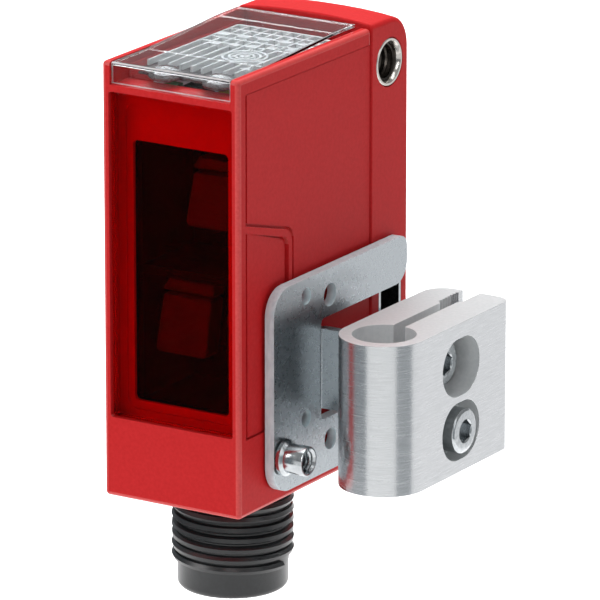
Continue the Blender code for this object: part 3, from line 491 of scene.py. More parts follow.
def rounded_box(low, high, radius, steps=6):
    """A rectangle's outline with equal corners."""
    return rounded([(low[0], low[1], radius), (high[0], low[1], radius), (high[0], high[1], radius),
                    (low[0], high[1], radius)], steps)


def finish(piece, material, body, *nodes):
    """Gives a piece its finish and body, and lets it stand for engineering solids."""
    piece.data.materials.clear()
    piece.data.materials.append(material)
    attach(piece, body)
    if nodes:
        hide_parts(*nodes)
    print(f"{piece.name}: {len(piece.data.polygons)} faces")
    return piece


def paint_edge_highlight(piece, material, limit):
    """Paints a highlight: faces whose normal leans off every axis take a second finish; the limit is a
    cosine.
    """
    piece.data.materials.append(material)
    for polygon in piece.data.polygons:
        polygon.material_index = int(max(abs(part) for part in polygon.normal) < limit)


HOUSING_EDGE_TILT, COVER_EDGE_TILT = 0.985, 0.93


# %% [markdown]
# ## Front shell
# The shell is one moulding: a front wall with a window opening, two side walls and a floor, open at the
# rear and the top. A box with its edges broken is milled out the way the mould's core would shape it.
# Each side has a very shallow panel inside a raised border, split by a raised rib that runs in from the
# front, turns and goes down.

# %% Front shell
WINDOW_SIDE = 6.75
WINDOW_LOW, WINDOW_HIGH = 7.8, 39.25
COVER_SIDE, COVER_LOW = 6.6, 39.9
PANEL_DEPTH = 0.16
BORDER = 1.15
CARRIER_OPENING = (-5.35, 9.2, 5.1, 34.4)

shell = box("front_shell", (-SIDE, 0, 0), (SIDE, DEPTH, HEIGHT))
soften(shell, 0.42, 4)
hollow = box("hollow", (-6.3, 3.1, 1.2), (6.3, DEPTH + 1, HEIGHT + 1))
cover_seat = box("cover_seat", (-COVER_SIDE, -1, COVER_LOW), (COVER_SIDE, 3.3, HEIGHT + 1))
cover_ledge = box("cover_ledge", (-COVER_SIDE, 3.0, 40.95), (COVER_SIDE, DEPTH + 1, HEIGHT + 1))
carve(shell, hollow, cover_seat)
carve(shell, cover_ledge)
window_seat = prism(
    "window_seat",
    rounded_box((-WINDOW_SIDE, WINDOW_LOW), (WINDOW_SIDE, WINDOW_HIGH), 0.25),
    "Y",
    -1,
    1.9,
)
left, low, right, high = CARRIER_OPENING
step_seat = prism("step_seat", rounded_box((-6.0, 8.4), (6.0, 38.0), 1.1), "Y", 1.5, 2.15)
beam_opening = prism("beam_opening", rounded_box((left, low), (right, high), 0.5), "Y", 1.0, 5.0)
carve(shell, window_seat)
carve(shell, step_seat)
behind_outline = rounded_box((left - 0.9, low - 0.8), (right + 0.9, high + 0.8), 0.5)
behind_lip = prism("behind_lip", behind_outline, "Y", 2.5, 5.0)
carve(shell, beam_opening)
carve(shell, behind_lip)

RIB = 0.6
UPRIGHT_GROOVE, LEVEL_GROOVE, GROOVE_DEPTH = 0.5, 0.12, 0.45


def panel_outlines(along, up):
    """The two panels of a side as (Y, Z) outlines, drawn in along the depth and the height."""
    front, top, low = BORDER + along, HEIGHT - 1.5 - up, 7.5 + up
    rear, turn = DEPTH + 1, 9.2 + along
    upper = [(front, top, 0.1), (front, 28.15 + up, 0.1), (turn, 25.9 + up, 1.5)]
    upper += [(turn, low, 0.1), (rear, low, 0), (rear, top, 0)]
    inner = turn - RIB - 2 * along
    lower = [(front, 28.15 - 1.15 * RIB - up, 0.1), (front, low, 0.1)]
    lower += [(inner, low, 0.1), (inner, 25.9 - RIB - up, 1.1)]
    return rounded(upper), rounded(lower)


for side in (-1, 1):
    face = side * SIDE
    groove_floor = face - side * GROOVE_DEPTH
    for outline in panel_outlines(0, 0):
        carve(shell, prism("panel", outline, "X", *sorted((face + side, groove_floor))))
    for outline in panel_outlines(UPRIGHT_GROOVE, LEVEL_GROOVE):
        pad = [(min(y, DEPTH - 0.02), z) for y, z in outline]
        ends = sorted((face - side * PANEL_DEPTH, groove_floor - side * 0.3))
        fuse(shell, prism("pad", pad, "X", *ends))
plug_y = (size_of("plug_body")[0].y + size_of("plug_body")[1].y) / 2
carve(shell, bore("plug_hole", 5.1, at(0, plug_y, 0.5), "Z", 6))
soften(shell, 0.07, 2, 50)
finish(shell, red_plastic, "sensor", "housing")
# The housing's edge radii take the paler red: a painted highlight.
paint_edge_highlight(shell, red_edge_painted_highlight, HOUSING_EDGE_TILT)

# %% [markdown]
# ## Rear cap
# The cap closes the shell from behind and holds both mounting holes. Its top is crowned from side to side
# and its rear corner is a large round, so it is built as a loft: the same side profile is repeated across
# the width, drawn in a little at both ends for the edge radius and let down towards the sides for the
# crown.

# %% Rear cap
cap_high = size_of("rear_cap")[1]
SEAM_Y = DEPTH + 0.12
REAR_Y = cap_high.y
CREST = cap_high.z
EDGE = 0.45


def cap_profile(inset, drop):
    """Side view of the cap as (Y, Z), drawn in by an inset, with its top let down by a drop."""
    top = CREST - inset - drop
    return rounded(
        [
            (SEAM_Y + 0.3 * inset, inset, 0.2),
            (REAR_Y - inset, inset, 0.5),
            (REAR_Y - inset, top - 0.25, 2.9),
            (SEAM_Y + 3.4, top - 0.05, 1.5),
            (SEAM_Y + 0.3 * inset, top, 0.2),
        ],
        10,
    )


stations = []
for turn in range(7):
    inset = EDGE * (1 - sin(radians(15 * turn)))
    stations.append((SIDE - EDGE + EDGE * cos(radians(15 * turn)), inset))
cross = [(-x, inset) for x, inset in stations]
cross += [(x, 0.0) for x in (-5.5, -3.5, -1.5, 0.0, 1.5, 3.5, 5.5)]
cross += [(x, inset) for x, inset in reversed(stations)]
work = bmesh.new()
loops = []
for x, inset in cross:
    drop = 0.45 * (abs(x) / SIDE) ** 2.5
    loops.append([work.verts.new(at(x, y, z)) for y, z in cap_profile(inset, drop)])
for here, there in zip(loops, loops[1:]):
    for i in range(len(here)):
        j = (i + 1) % len(here)
        work.faces.new((here[i], here[j], there[j], there[i]))
work.faces.new(loops[0])
work.faces.new(loops[-1])
cap = object_from("cap_shell", work)

sleeve_low, sleeve_high = size_of("upper_sleeve")
sleeve_y, sleeve_z = (sleeve_low.y + sleeve_high.y) / 2, (sleeve_low.z + sleeve_high.z) / 2
sleeve_radius = (sleeve_high.z - sleeve_low.z) / 2
slot_low, slot_high = size_of("slot_sleeve")
slot_y, slot_half = (slot_low.y + slot_high.y) / 2, (slot_high.y - slot_low.y) / 2


def obround(a, b_low, b_high, half):
    """A slot's outline: two half circles, one above the other."""
    return arc((a, b_high - half), half, 0, 180, 16) + arc((a, b_low + half), half, 180, 360, 16)


slot_outline = obround(slot_y, slot_low.z - 0.05, slot_high.z + 0.05, slot_half + 0.05)
slot_hole = prism("slot_hole", slot_outline, "X", -9, 9)
carve(cap, bore("sleeve_hole", sleeve_radius + 0.05, at(0, sleeve_y, sleeve_z), "X", 20, 64))
carve(cap, slot_hole)
smooth_shading(cap, 35)
finish(cap, red_plastic, "sensor", "rear_cap")

# %% [markdown]
# ## Threads
# The plug, the upper sleeve and the standoff all carry a thread, and a thread is one small ridge that
# follows a spiral. That is a rule, so Geometry Nodes make it: a spiral curve is swept with a three-sided
# ridge. The same tree serves every thread, because its radius, pitch, length and depth are inputs.


# %% Thread tree
def thread_tree():
    tree = bpy.data.node_groups.new("Thread", "GeometryNodeTree")
    face = tree.interface
    face.new_socket("Geometry", in_out="OUTPUT", socket_type="NodeSocketGeometry")
    for name in ("Radius", "Pitch", "Length", "Depth"):
        face.new_socket(name, in_out="INPUT", socket_type="NodeSocketFloat")
    face.new_socket("Finish", in_out="INPUT", socket_type="NodeSocketMaterial")
    given = add_node(tree, "NodeGroupInput").outputs
    turns = add_node(tree, "ShaderNodeMath", {0: given["Length"], 1: given["Pitch"]}, operation="DIVIDE")
    spiral = add_node(
        tree,
        "GeometryNodeCurveSpiral",
        {
            "Resolution": 48,
            "Rotations": turns.outputs[0],
            "Start Radius": given["Radius"],
            "End Radius": given["Radius"],
            "Height": given["Length"],
        },
    )
    ridge = add_node(tree, "GeometryNodeCurvePrimitiveCircle", {"Resolution": 6, "Radius": given["Depth"]})
    swept = add_node(
        tree,
        "GeometryNodeCurveToMesh",
        {"Curve": spiral.outputs[0], "Profile Curve": ridge.outputs[0], "Fill Caps": True},
    )
    real = add_node(tree, "GeometryNodeRealizeInstances", {0: swept.outputs[0]})
    made = add_node(tree, "GeometryNodeSetMaterial", {0: real.outputs[0], "Material": given["Finish"]})
    out = add_node(tree, "NodeGroupOutput")
    tree.links.new(made.outputs[0], out.inputs[0])
    return tree


THREAD = thread_tree()


def thread(name, material, centre, axis, radius, pitch, length, depth):
    """A helical ridge; it starts at the centre and runs along the axis."""
    piece = bpy.data.objects.new(name, bpy.data.meshes.new(name))
    bpy.context.scene.collection.objects.link(piece)
    grown = piece.modifiers.new("Thread", "NODES")
    grown.node_group = THREAD
    sizes = {"Radius": radius * MM, "Pitch": pitch * MM, "Length": length * MM, "Depth": depth * MM}
    for item in THREAD.interface.items_tree:
        if item.in_out == "INPUT":
            grown[item.identifier] = material if item.name == "Finish" else sizes[item.name]
    baked(piece)
    turn = {"X": Matrix.Rotation(pi / 2, 4, "Y"), "Y": Matrix.Rotation(-pi / 2, 4, "X"), "Z": Matrix()}[axis]
    piece.data.transform(Matrix.Translation(centre) @ turn)
    piece.data.shade_smooth()
    piece.data.set_sharp_from_angle(angle=radians(50))
    return piece


def joined(name, *pieces):
    """Several meshes as one piece."""
    work = bmesh.new()
    for piece in pieces:
        work.from_mesh(piece.data)
        bpy.data.objects.remove(piece)
    mesh = bpy.data.meshes.new(name)
    work.to_mesh(mesh)
    work.free()
    made = bpy.data.objects.new(name, mesh)
    bpy.context.scene.collection.objects.link(made)
    mesh.shade_smooth()
    mesh.set_sharp_from_angle(angle=radians(40))
    return made


# %% [markdown]
# ## Mounting sleeves
# The upper mounting is a turned sleeve with an M4 thread all the way through, and the lower one is a
# drawn steel lining with round ends, so that a screw can be set higher or lower.

# %% Mounting sleeves
SLEEVE_BORE = 1.78
half = SIDE
tube_profile = [
    (sleeve_radius, half - 0.1),
    (sleeve_radius, 0.1 - half),
    (sleeve_radius - 0.1, -half),
    (SLEEVE_BORE + 0.28, -half),
    (SLEEVE_BORE, 0.35 - half),
    (SLEEVE_BORE, half - 0.35),
    (SLEEVE_BORE + 0.28, half),
    (sleeve_radius - 0.1, half),
]
tube = lathe("sleeve_tube", tube_profile, at(0, sleeve_y, sleeve_z), "X", 96)
thread_start, thread_length = at(0.4 - half, sleeve_y, sleeve_z), 2 * half - 0.8
sleeve_thread = thread(
    "sleeve_thread", nickel_brass, thread_start, "X", SLEEVE_BORE + 0.02, 0.7, thread_length, 0.2
)
sleeve = joined("threaded_sleeve", tube, sleeve_thread)
finish(sleeve, nickel_brass, "sensor", "upper_sleeve")
# Faces inside the bore take the dark thread finish: painted shade.
sleeve.data.materials.append(thread_painted_shade)
sleeve_axis = at(0, sleeve_y, sleeve_z)
for polygon in sleeve.data.polygons:
    across = (Vector(polygon.center) - sleeve_axis).yz.length
    polygon.material_index = int(across < (SLEEVE_BORE + 0.05) * MM)

LINING = 0.35
lining = prism("slot_lining", obround(slot_y, slot_low.z, slot_high.z, slot_half), "X", -SIDE, SIDE)
inside = obround(slot_y, slot_low.z + LINING, slot_high.z - LINING, slot_half - LINING)
carve(lining, prism("inside", inside, "X", -SIDE - 1, SIDE + 1))
smooth_shading(lining, 40)
finish(lining, bright_steel, "sensor", "slot_sleeve")

# %% [markdown]
# ## Window
# The window is a pane of deep red acrylic set just behind the shell's rim. Its edges are softly broken,
# which draws the thin bright line all round it, and the black carrier with both lenses shows faintly
# behind.

# %% Window
PANE_GAP = 0.12
pane_side, pane_low, pane_high = WINDOW_SIDE - PANE_GAP, WINDOW_LOW + PANE_GAP, WINDOW_HIGH - PANE_GAP
pane_outline = rounded_box((-pane_side, pane_low), (pane_side, pane_high), 0.2)
pane = prism("red_pane", pane_outline, "Y", 0.3, 1.35)
soften(pane, 0.12, 3)
finish(pane, red_pane, "sensor", "front_window")

# %% Lens blocks
# Behind the pane each half of the carrier holds a lens block that leans, under a short sloping lip.
for node_name, left, right, bottom, top in (
    ("receiver_lens", 0.0, 4.4, 26.3, 31.6),
    ("emitter_lens", -3.4, 1.9, 13.6, 19.4),
):
    face = [(left - 1.0, bottom, 0.5), (right - 0.7, bottom, 0.5), (right, top, 0.4), (left, top, 0.4)]
    lip = [(left - 0.5, top + 0.2), (right, top + 0.2), (right, top + 1.4), (left + 0.4, top + 1.4)]
    lip = [(across, up, 0.2) for across, up in lip]
    block = prism(f"{node_name}_block", rounded(face), "Y", 4.2, 6.3)
    fuse(block, prism("lip", rounded(lip), "Y", 4.6, 6.3))
    soften(block, 0.2, 3)
    finish(block, lens_plastic, "sensor", node_name)

# %% [markdown]
# ## Clear cover and light guide
# The cover is one clear moulding: a short front face, a flat stretch and a ramp that rises to the cap.
# Under it lies the light guide, which collects the two status lights at the front in rounded lobes and is
# braced by thin rails along its length and ribs across it. Rails and ribs repeat at a spacing, so
# Geometry Nodes set them out.


# %% Rib tree
def rib_tree():
    """Blocks set out along a line: size, step, count and start are inputs."""
    tree = bpy.data.node_groups.new("Ribs", "GeometryNodeTree")
    face = tree.interface
    face.new_socket("Geometry", in_out="OUTPUT", socket_type="NodeSocketGeometry")
    for name in ("Start", "Step", "Size"):
        face.new_socket(name, in_out="INPUT", socket_type="NodeSocketVector")
    face.new_socket("Count", in_out="INPUT", socket_type="NodeSocketInt")
    face.new_socket("Finish", in_out="INPUT", socket_type="NodeSocketMaterial")
    given = add_node(tree, "NodeGroupInput").outputs
    line = add_node(
        tree,
        "GeometryNodeMeshLine",
        {"Count": given["Count"], "Start Location": given["Start"], "Offset": given["Step"]},
    )
    block = add_node(tree, "GeometryNodeMeshCube", {"Size": given["Size"]})
    pieces = {"Points": line.outputs[0], "Instance": block.outputs[0]}
    placed = add_node(tree, "GeometryNodeInstanceOnPoints", pieces)
    real = add_node(tree, "GeometryNodeRealizeInstances", {0: placed.outputs[0]})
    made = add_node(tree, "GeometryNodeSetMaterial", {0: real.outputs[0], "Material": given["Finish"]})
    out = add_node(tree, "NodeGroupOutput")
    tree.links.new(made.outputs[0], out.inputs[0])
    return tree


RIBS = rib_tree()


def ribs(name, material, start, step, size, count):
    """A row of blocks; start is the first one's centre in millimetres."""
    piece = bpy.data.objects.new(name, bpy.data.meshes.new(name))
    bpy.context.scene.collection.objects.link(piece)
    grown = piece.modifiers.new("Ribs", "NODES")
    grown.node_group = RIBS
    values = {
        "Start": at(*start),
        "Step": Vector(step) * MM,
        "Size": Vector(size) * MM,
        "Count": count,
        "Finish": material,
    }
    for item in RIBS.interface.items_tree:
        if item.in_out == "INPUT":
            grown[item.identifier] = values[item.name]
    return baked(piece)


# %% Clear cover
COVER_REAR = size_of("top_cover")[1].y
RAMP_START, RAMP_END = 6.0, 18.5
COVER_WALL = 0.35
TOP = HEIGHT - 0.02
cover_profile = rounded(
    [
        (0.12, COVER_LOW + 0.12, 0),
        (0.12 + COVER_WALL, COVER_LOW + 0.12, 0),
        (0.12 + COVER_WALL, TOP - COVER_WALL, 0.1),
        (RAMP_START, TOP - COVER_WALL, 2.0),
        (RAMP_END, CREST - 0.1 - COVER_WALL, 1.0),
        (COVER_REAR, CREST - 0.1 - COVER_WALL, 0),
        (COVER_REAR, CREST - 0.1, 0.2),
        (RAMP_END, CREST - 0.1, 1.0),
        (RAMP_START, TOP, 2.0),
        (0.12, TOP, 0.25),
    ]
)
cover = prism("clear_cover", cover_profile, "X", -COVER_SIDE + 0.1, COVER_SIDE - 0.1)
soften(cover, 0.12, 3, 50)
finish(cover, clear_plastic, "sensor", "top_cover")
# The cover's edges take the pale finish: a painted highlight.
paint_edge_highlight(cover, clear_cover_painted_highlight, COVER_EDGE_TILT)

# %% Light guide
LOBE_X = (-2.35, 3.55)
BOSS = (1.7, 10.2)
web = box("web", (-5.6, 3.4, 40.35), (5.6, 20.6, 40.6))
lobes = []
for x in LOBE_X:
    work = bmesh.new()
    place = Matrix.Translation(at(x, 3.0, 40.75)) @ Matrix.Diagonal((1.75 * MM, 1.6 * MM, 0.62 * MM, 1))
    bmesh.ops.create_icosphere(work, subdivisions=2, radius=1.0, matrix=place)
    lobes.append(object_from("lobe", work))
light_guide = finish(joined("light_guide_moulding", web, *lobes), guide_plastic, "sensor", "light_guide")
light_guide.data.shade_flat()

gathering = []
for radius in (2.2, 1.6, 1.0, 0.45):
    ring = [(radius, 41.3), (radius, 40.6), (radius - 0.25, 40.6), (radius - 0.25, 41.3)]
    gathering.append(lathe("ring", ring, at(*BOSS, 0), "Z", 48))
rails = ribs("rails", guide_painted_highlight, (-5.35, 12.4, 40.95), (1.19, 0, 0), (0.2, 15.6, 0.55), 10)
rear_ribs = ribs("rear_ribs", guide_painted_highlight, (0, 13.7, 40.95), (0, 1.65, 0), (10.6, 0.3, 0.5), 5)
near_facets = ribs("near_facets", guide_painted_highlight, (4.2, 6.4, 41.0), (-0.15, 1.5, 0), (1.0, 0.55, 0.5), 3)
facets = ribs("facets", guide_painted_highlight, (-3.2, 12.9, 41.05), (1.85, 0.35, 0), (1.0, 0.9, 0.55), 5)
far_facets = ribs("far_facets", guide_painted_highlight, (-4.4, 16.2, 41.05), (2.2, 0.1, 0), (1.3, 0.9, 0.6), 5)
gathering += [rails, rear_ribs, near_facets, facets, far_facets]
guide_rails = joined("light_guide_rails", *gathering)
guide_rails.data.shade_flat()
# The guide's rings, rails, ribs and facets take the near-white finish: a painted highlight.
finish(guide_rails, guide_painted_highlight, "sensor")

# %% [markdown]
# ## Plug
# The round plug carries an M12 x 1 thread for about two thirds of its length and ends in a plain nose.
# The body is turned with the nose's round lip and the deep socket, and the thread tree lays its ridge on
# the core.

# %% Plug
plug_low, plug_high = size_of("plug_body")
PLUG = at(0, plug_y, 0)
CORE, NOSE, SOCKET = 5.35, 5.28, 4.2
NOSE_END, THREAD_END = plug_low.z, -7.7
plug_profile = [
    (SOCKET, NOSE_END + 0.25),
    (SOCKET + 0.25, NOSE_END),
    *arc((NOSE - 0.6, NOSE_END + 0.6), 0.6, -90, 0, 6),
    (NOSE, THREAD_END - 0.25),
    (CORE, THREAD_END),
    (CORE, -0.1),
    (4.9, -0.1),
    (4.9, plug_high.z),
    (3.6, plug_high.z),
    (3.6, -1.75),
    (SOCKET, -1.75),
]
core = lathe("plug_core", plug_profile, PLUG, "Z", 96)
thread_start = PLUG + Vector((0, 0, -7.6 * MM))
ridge = thread("plug_thread", grey_polyamide, thread_start, "Z", CORE + 0.08, 1.0, 7.0, 0.4)
plug = joined("threaded_plug", core, ridge)
finish(plug, grey_polyamide, "sensor", "plug_body")

# %% [markdown]
# ## Bracket
# The bracket is blanked from 1 mm sheet and folded once: a C-shaped plate lies against the housing, and a
# tongue stands out of its window and turns back to carry the clamp. The blank's outline is drawn flat and
# given the sheet's thickness, the tongue is drawn from above as a bent strip, and both are welded before
# the edges are broken.

# %% Bracket
plate_low, plate_high = size_of("bracket_plate")
SHEET = 1.0
PLATE_IN = plate_low.x
PLATE_OUT = PLATE_IN + SHEET
TONGUE_OUT = plate_high.x
plate_outline = rounded(
    [
        (4.1, 1.4, 2.6),
        (29.25, 1.4, 1.3),
        (29.25, 13.75, 2.5),
        (24.15, 13.75, 2.5),
        (24.15, 6.7, 0.5),
        (12.4, 6.7, 0.5),
        (12.4, 16.6, 0.5),
        (27.9, 16.6, 2.1),
        (27.9, 21.2, 1.3),
        (4.1, 21.2, 2.6),
    ],
    12,
)
bracket = prism("folded_bracket", plate_outline, "X", PLATE_IN, PLATE_OUT)
FOLD = 12.4
tongue_outline = rounded(
    [
        (PLATE_IN, FOLD - 0.8, 0),
        (PLATE_OUT, FOLD - 0.8, 0),
        (PLATE_OUT, FOLD, 0.12),
        (TONGUE_OUT, FOLD, 1.35),
        (TONGUE_OUT, 21.4, 0),
        (TONGUE_OUT - SHEET, 21.4, 0),
        (TONGUE_OUT - SHEET, FOLD + SHEET, 0.35),
        (PLATE_IN, FOLD + SHEET, 1.35),
    ],
    10,
)
fuse(bracket, prism("tongue", tongue_outline, "Z", 7.9, 15.7))
PLATE_HOLES = (
    (9.75, 19.5, 0.82),
    (13.95, 18.6, 1.1),
    (9.75, 7.6, 0.82),
    (14.05, 4.5, 1.05),
    (26.7, 11.2, 1.65),
)
for y, z, radius in PLATE_HOLES:
    carve(bracket, bore("hole", radius, at(PLATE_IN, y, z), "X", 5))
STANDOFF_AT = (5.8, 4.9)
carve(bracket, bore("hole", 1.3, at(PLATE_IN, *STANDOFF_AT), "X", 5))
pivot_low, pivot_high = size_of("pivot_screw")
pivot_y, pivot_z = (pivot_low.y + pivot_high.y) / 2, (pivot_low.z + pivot_high.z) / 2
carve(bracket, bore("hole", 1.4, at(TONGUE_OUT, pivot_y, pivot_z), "X", 4))
soften(bracket, 0.07, 2, 45)
finish(bracket, zinc_sheet, "bracket", "bracket_plate")
# Sheared edges and hole walls take the paler finish: real tearing, and a painted highlight.
bracket.data.materials.append(sheared_edge_painted_highlight)
for polygon in bracket.data.polygons:
    outside_tongue = (Vector(polygon.center) - CORNER).x < PLATE_OUT * MM + 0.00005
    if outside_tongue and abs(polygon.normal.x) < 0.5:
        polygon.material_index = 1

# %% Standoff
REACH = size_of("standoff")[1].x - PLATE_OUT
standoff_profile = [
    (1.42, REACH - 0.12),
    (1.42, 0.75),
    (1.62, 0.62),
    (1.75, 0.5),
    (1.75, 0.15),
    (1.25, 0.15),
    (1.25, -0.9),
    (1.0, -0.9),
    (1.0, REACH - 0.22),
    (1.2, REACH),
    (1.34, REACH),
]
pillar = lathe("pillar", standoff_profile, at(PLATE_OUT, *STANDOFF_AT), "X", 64)
thread_start = at(PLATE_OUT - 0.8, *STANDOFF_AT)
inner_thread = thread("inner_thread", bright_steel, thread_start, "X", 1.0, 0.45, REACH + 0.4, 0.13)
standoff = joined("threaded_standoff", pillar, inner_thread)
finish(standoff, bright_steel, "bracket", "standoff")

# %% [markdown]
# ## Rod clamp
# The clamp is a length of aluminium extrusion: a round nose with the 6 mm bore, two jaws with a slot
# between them and a mouth with fine teeth, so that its profile drawn from above is the whole shape. Two
# round-ended pockets are milled in from the outer side for the screws. The upper one goes right through
# the outer jaw, which lets its screw seat on the inner jaw.

# %% Rod clamp
clamp_low, clamp_high = size_of("clamp_block")
ROD_X = (clamp_low.x + clamp_high.x) / 2
ROD_Y = clamp_low.y + (clamp_high.x - clamp_low.x) / 2
OUTER = (clamp_high.x - clamp_low.x) / 2
ROD_BORE = 3.0
LENGTH = clamp_high.y - ROD_Y
SLOT_IN, SLOT_OUT = -0.75, 0.45
MOUTH_IN, MOUTH_START = -1.1, 11.7
TOOTH = 0.5


def slot_angle(offset):
    return atan2(sqrt(ROD_BORE**2 - offset**2), offset) * 180 / pi


clamp_outline = arc((0, 0), OUTER, 180, 360, 64)
clamp_outline += arc((OUTER - 1.4, LENGTH - 1.4), 1.4, 0, 90, 10)
clamp_outline += [(0.75, LENGTH), (0.75, MOUTH_START + 1.2), (SLOT_OUT, MOUTH_START + 0.6)]
clamp_outline += arc((0, 0), ROD_BORE, slot_angle(SLOT_OUT), slot_angle(SLOT_IN) - 360, 96)
clamp_outline += [(SLOT_IN, MOUTH_START - 0.35), (MOUTH_IN, MOUTH_START)]
for tooth in range(7):
    start = MOUTH_START + 0.2 + TOOTH * tooth
    clamp_outline += [(MOUTH_IN, start), (MOUTH_IN - 0.2, start + 0.12)]
    clamp_outline += [(MOUTH_IN - 0.2, start + 0.28), (MOUTH_IN, start + 0.4)]
clamp_outline += [(MOUTH_IN, LENGTH)]
clamp_outline += arc((2.3 - OUTER, LENGTH - 2.3), 2.3, 90, 180, 12)
placed_outline = [(x + ROD_X, y + ROD_Y) for x, y in clamp_outline]
clamp = prism("rod_clamp", placed_outline, "Z", clamp_low.z, clamp_high.z)

screw_low, screw_high = size_of("clamp_screw")
screw_y, screw_z = (screw_low.y + screw_high.y) / 2, (screw_low.z + screw_high.z) / 2
OUT_FACE = clamp_high.x
POCKET = 2.8
POCKET_SHIFT = 0.55
SCREW_SEAT = screw_high.x - 2.5


def pocket_outline(middle_y, middle_z, radius):
    right = arc((middle_y + POCKET_SHIFT, middle_z), radius, -90, 90, 20)
    return right + arc((middle_y - POCKET_SHIFT, middle_z), radius, 90, 270, 20)


carve(clamp, prism("pocket", pocket_outline(screw_y, pivot_z, POCKET), "X", ROD_X - 0.3, OUT_FACE + 2))
carve(clamp, prism("pocket", pocket_outline(screw_y, screw_z, POCKET), "X", SCREW_SEAT - 0.12, OUT_FACE + 2))
carve(clamp, bore("screw_hole", 1.4, at(ROD_X, screw_y, pivot_z), "X", 16))
carve(clamp, bore("screw_hole", 1.4, at(ROD_X, screw_y, screw_z), "X", 16))
soften(clamp, 0.09, 2, 45)
finish(clamp, brushed_aluminium, "clamp", "clamp_block")
clamp.data.materials.append(sawn_aluminium)
rod_axis = at(ROD_X, ROD_Y, 0)
for polygon in clamp.data.polygons:
    spot = (Vector(polygon.center) - rod_axis) / MM
    on_flat = abs(abs(spot.x) - OUTER) < 0.12
    on_nose = spot.y < 0 and abs(spot.xy.length - OUTER) < 0.12
    on_rear = spot.y > LENGTH - 2.3
    drawn = abs(polygon.normal.z) < 0.8 and (on_flat or on_nose or on_rear)
    polygon.material_index = int(not drawn)

# %% [markdown]
# ## Screws
# All three are cylinder-head screws with a hexagon socket. They differ only in size and direction, so one
# function turns the head and shank, rounds the rim and sinks the socket.


# %% Screws
def socket_screw(name, node, body, head, height, shank, socket, sign):
    """A socket-head screw along X, with its head towards +X or -X."""
    low, high = size_of(node)
    y, z = (low.y + high.y) / 2, (low.z + high.z) / 2
    top = high.x if sign > 0 else low.x
    length = high.x - low.x
    chamfer = 0.22
    profile = [
        (0, 0),
        (head - chamfer - 0.12, 0),
        (head - 0.1, -chamfer * 0.4),
        (head, -chamfer),
        (head, 0.08 - height),
        (head - 0.08, -height),
        (shank, -height),
        (shank, 0.3 - length),
        (shank - 0.3, -length),
        (0, -length),
    ]
    if sign < 0:
        profile = [(r, -s) for r, s in profile]
    screw = lathe(name, profile, at(top, y, z), "X", 64)
    corner = socket / 2 / cos(radians(30))
    turns = [radians(60 * i + 17) for i in range(6)]
    hexagon = [(y + corner * cos(t), z + corner * sin(t)) for t in turns]
    ends = sorted((top + sign, top - sign * 1.25))
    carve(screw, prism("socket", hexagon, "X", *ends))
    lead = [(0, 0.5), (corner + 0.5, 0.5), (corner - 0.12, -0.12), (0, -0.12)]
    carve(screw, lathe("lead_in", [(r, sign * s) for r, s in lead], at(top, y, z), "X", 48))
    smooth_shading(screw, 35)
    finish(screw, bright_steel, body, node)


socket_screw("clamping_screw", "clamp_screw", "clamp", 2.15, 2.5, 1.2, 2.0, 1)
socket_screw("swivel_screw", "pivot_screw", "bracket", 2.15, 2.5, 1.2, 2.0, 1)
socket_screw("slot_fixing_screw", "slot_screw", "slot_fixing", 2.75, 1.9, 1.45, 2.5, -1)

# %% [markdown]
# ## Studio
# A small product like this is lit in a light tent: pale all round, with a couple of grey gaps that give
# the metal something darker to reflect. The floor is a plain pale sheet below the plug. The camera stands
# well back with a long lens, a little above the sensor and to its right, so upright edges stay nearly
# parallel.

# %% Floor
FLOOR_DROP = 40.0
FLOOR_SPAN = 900.0
floor_z = plug_low.z - FLOOR_DROP
paper = new_finish("white_paper", ("#F4F4F4", "#F8F8F8"), 3.0, Roughness=0.9)
floor = box("floor", (-FLOOR_SPAN, -FLOOR_SPAN, floor_z - 1), (FLOOR_SPAN, FLOOR_SPAN, floor_z))
floor.data.materials.append(paper)

# %% Light tent
world = bpy.data.worlds.new("Light tent")
bpy.context.scene.world = world
world.use_nodes = True
tree = world.node_tree
direction = add_node(tree, "ShaderNodeTexCoord").outputs["Generated"]
rise = add_node(tree, "ShaderNodeSeparateXYZ", {0: direction}).outputs["Z"]
tent = add_node(tree, "ShaderNodeValToRGB", {"Fac": rise})
TENT = ((0.0, "#B9BEC2"), (0.35, "#E8EAEC"), (0.8, "#FFFFFF"))
stops = tent.color_ramp.elements
stops.new(TENT[1][0])
for stop, (position, colour) in zip(stops, TENT):
    stop.position, stop.color = position, linear(colour)
background = tree.nodes["Background"]
background.inputs["Strength"].default_value = 0.38
tree.links.new(tent.outputs["Color"], background.inputs["Color"])


def softbox(name, place, aim, width, height, power):
    """A rectangular lamp aimed at a point, both in millimetres."""
    lamp = bpy.data.lights.new(name, "AREA")
    lamp.shape, lamp.size, lamp.size_y, lamp.energy = "RECTANGLE", width * MM, height * MM, power
    made = bpy.data.objects.new(name, lamp)
    made.location = at(*place)
    made.rotation_euler = (at(*aim) - at(*place)).to_track_quat("-Z", "Y").to_euler()
    bpy.context.scene.collection.objects.link(made)
    return made


MIDDLE = (0, 15, 21)
softbox("overhead", (0, 40, 420), MIDDLE, 300, 300, 0.6)
softbox("front_left", (-260, -330, 190), MIDDLE, 240, 320, 1.15)
softbox("right", (380, -60, 160), MIDDLE, 160, 320, 0.15)
softbox("edge_strip", (190, -290, 230), MIDDLE, 30, 260, 0.22)
wash = softbox("floor_wash", (-150, 300, 300), (-140, 240, -55), 420, 420, 3.6)
wash.visible_glossy = False

# %% [markdown]
# Bare metal shows the room more than its own colour. A photographer stands cards beside it, out of shot,
# so that a round surface gets darker bands between the bright ones. These cards stand in an arc round the
# object, glow at one even grey each, and only show in reflections.

# %% Grey cards
VIEW_AZIMUTH = 31.99
CARD_RADIUS = 130.0
CARD_STEPS = 24


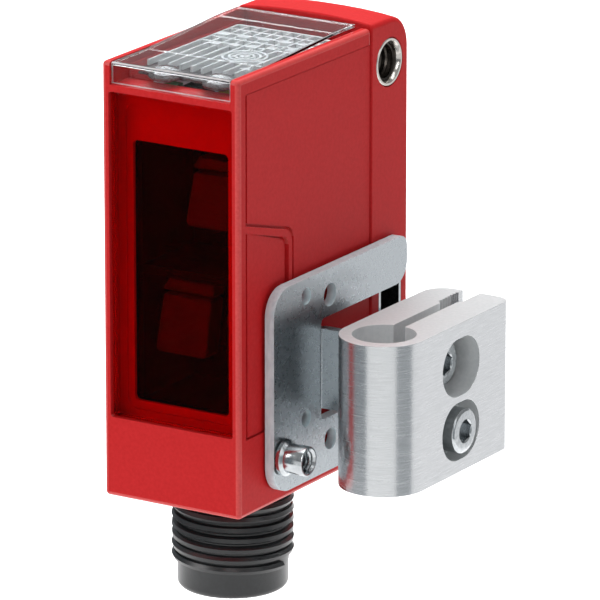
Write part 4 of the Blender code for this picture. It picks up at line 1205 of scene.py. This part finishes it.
def card(name, start, end, bottom, top, grey):
    """A curved card round the object, between two angles counted from the camera's direction."""
    step = (end - start) / CARD_STEPS
    turns = [radians(VIEW_AZIMUTH - 90 + start + step * i) for i in range(CARD_STEPS + 1)]
    outline = [(CARD_RADIUS * cos(t), CARD_RADIUS * sin(t) + 15) for t in turns]
    outline += [((CARD_RADIUS + 1) * cos(t), (CARD_RADIUS + 1) * sin(t) + 15) for t in reversed(turns)]
    made = prism(name, outline, "Z", bottom, top)
    paint = bpy.data.materials.new(name)
    paint.use_nodes = True
    shader = paint.node_tree.nodes["Principled BSDF"]
    shader.inputs["Base Color"].default_value = linear("#000000")
    shader.inputs["Specular IOR Level"].default_value = 0.0
    shader.inputs["Emission Color"].default_value = linear(grey)
    shader.inputs["Emission Strength"].default_value = 1.0
    made.data.materials.append(paint)
    made.visible_camera = made.visible_diffuse = made.visible_shadow = made.visible_transmission = False


card("card_left", -178, -90, floor_z + 1, 55, "#8E9499")
card("card_near_left", -90, -37, floor_z + 1, 55, "#70797F")
card("card_front", -36, 29, floor_z + 1, 20, "#FAFBFB")
card("card_right", 31, 70, floor_z + 1, 20, "#A3A8AB")
card("card_side", 72, 140, floor_z + 1, 20, "#FDFDFE")

# %% Camera
AZIMUTH, ELEVATION, DISTANCE = radians(VIEW_AZIMUTH), radians(16.53), 659.3
AIM_RIGHT, AIM_UP = 4.01, -4.36
back = Vector((sin(AZIMUTH) * cos(ELEVATION), -cos(AZIMUTH) * cos(ELEVATION), sin(ELEVATION)))
right_hand = Vector((cos(AZIMUTH), sin(AZIMUTH), 0))
upward = back.cross(right_hand)
lens = bpy.data.cameras.new("Long lens")
lens.lens, lens.sensor_width = 420.0, 36.0
lens.clip_start, lens.clip_end = 0.05, 20.0
camera = bpy.data.objects.new("Camera", lens)
camera.location = at(*MIDDLE) + (back * DISTANCE + right_hand * AIM_RIGHT + upward * AIM_UP) * MM
camera.rotation_euler = Matrix((right_hand, upward, back)).transposed().to_euler()
bpy.context.scene.collection.objects.link(camera)
bpy.context.scene.camera = camera
bpy.context.scene.view_settings.view_transform = "Standard"
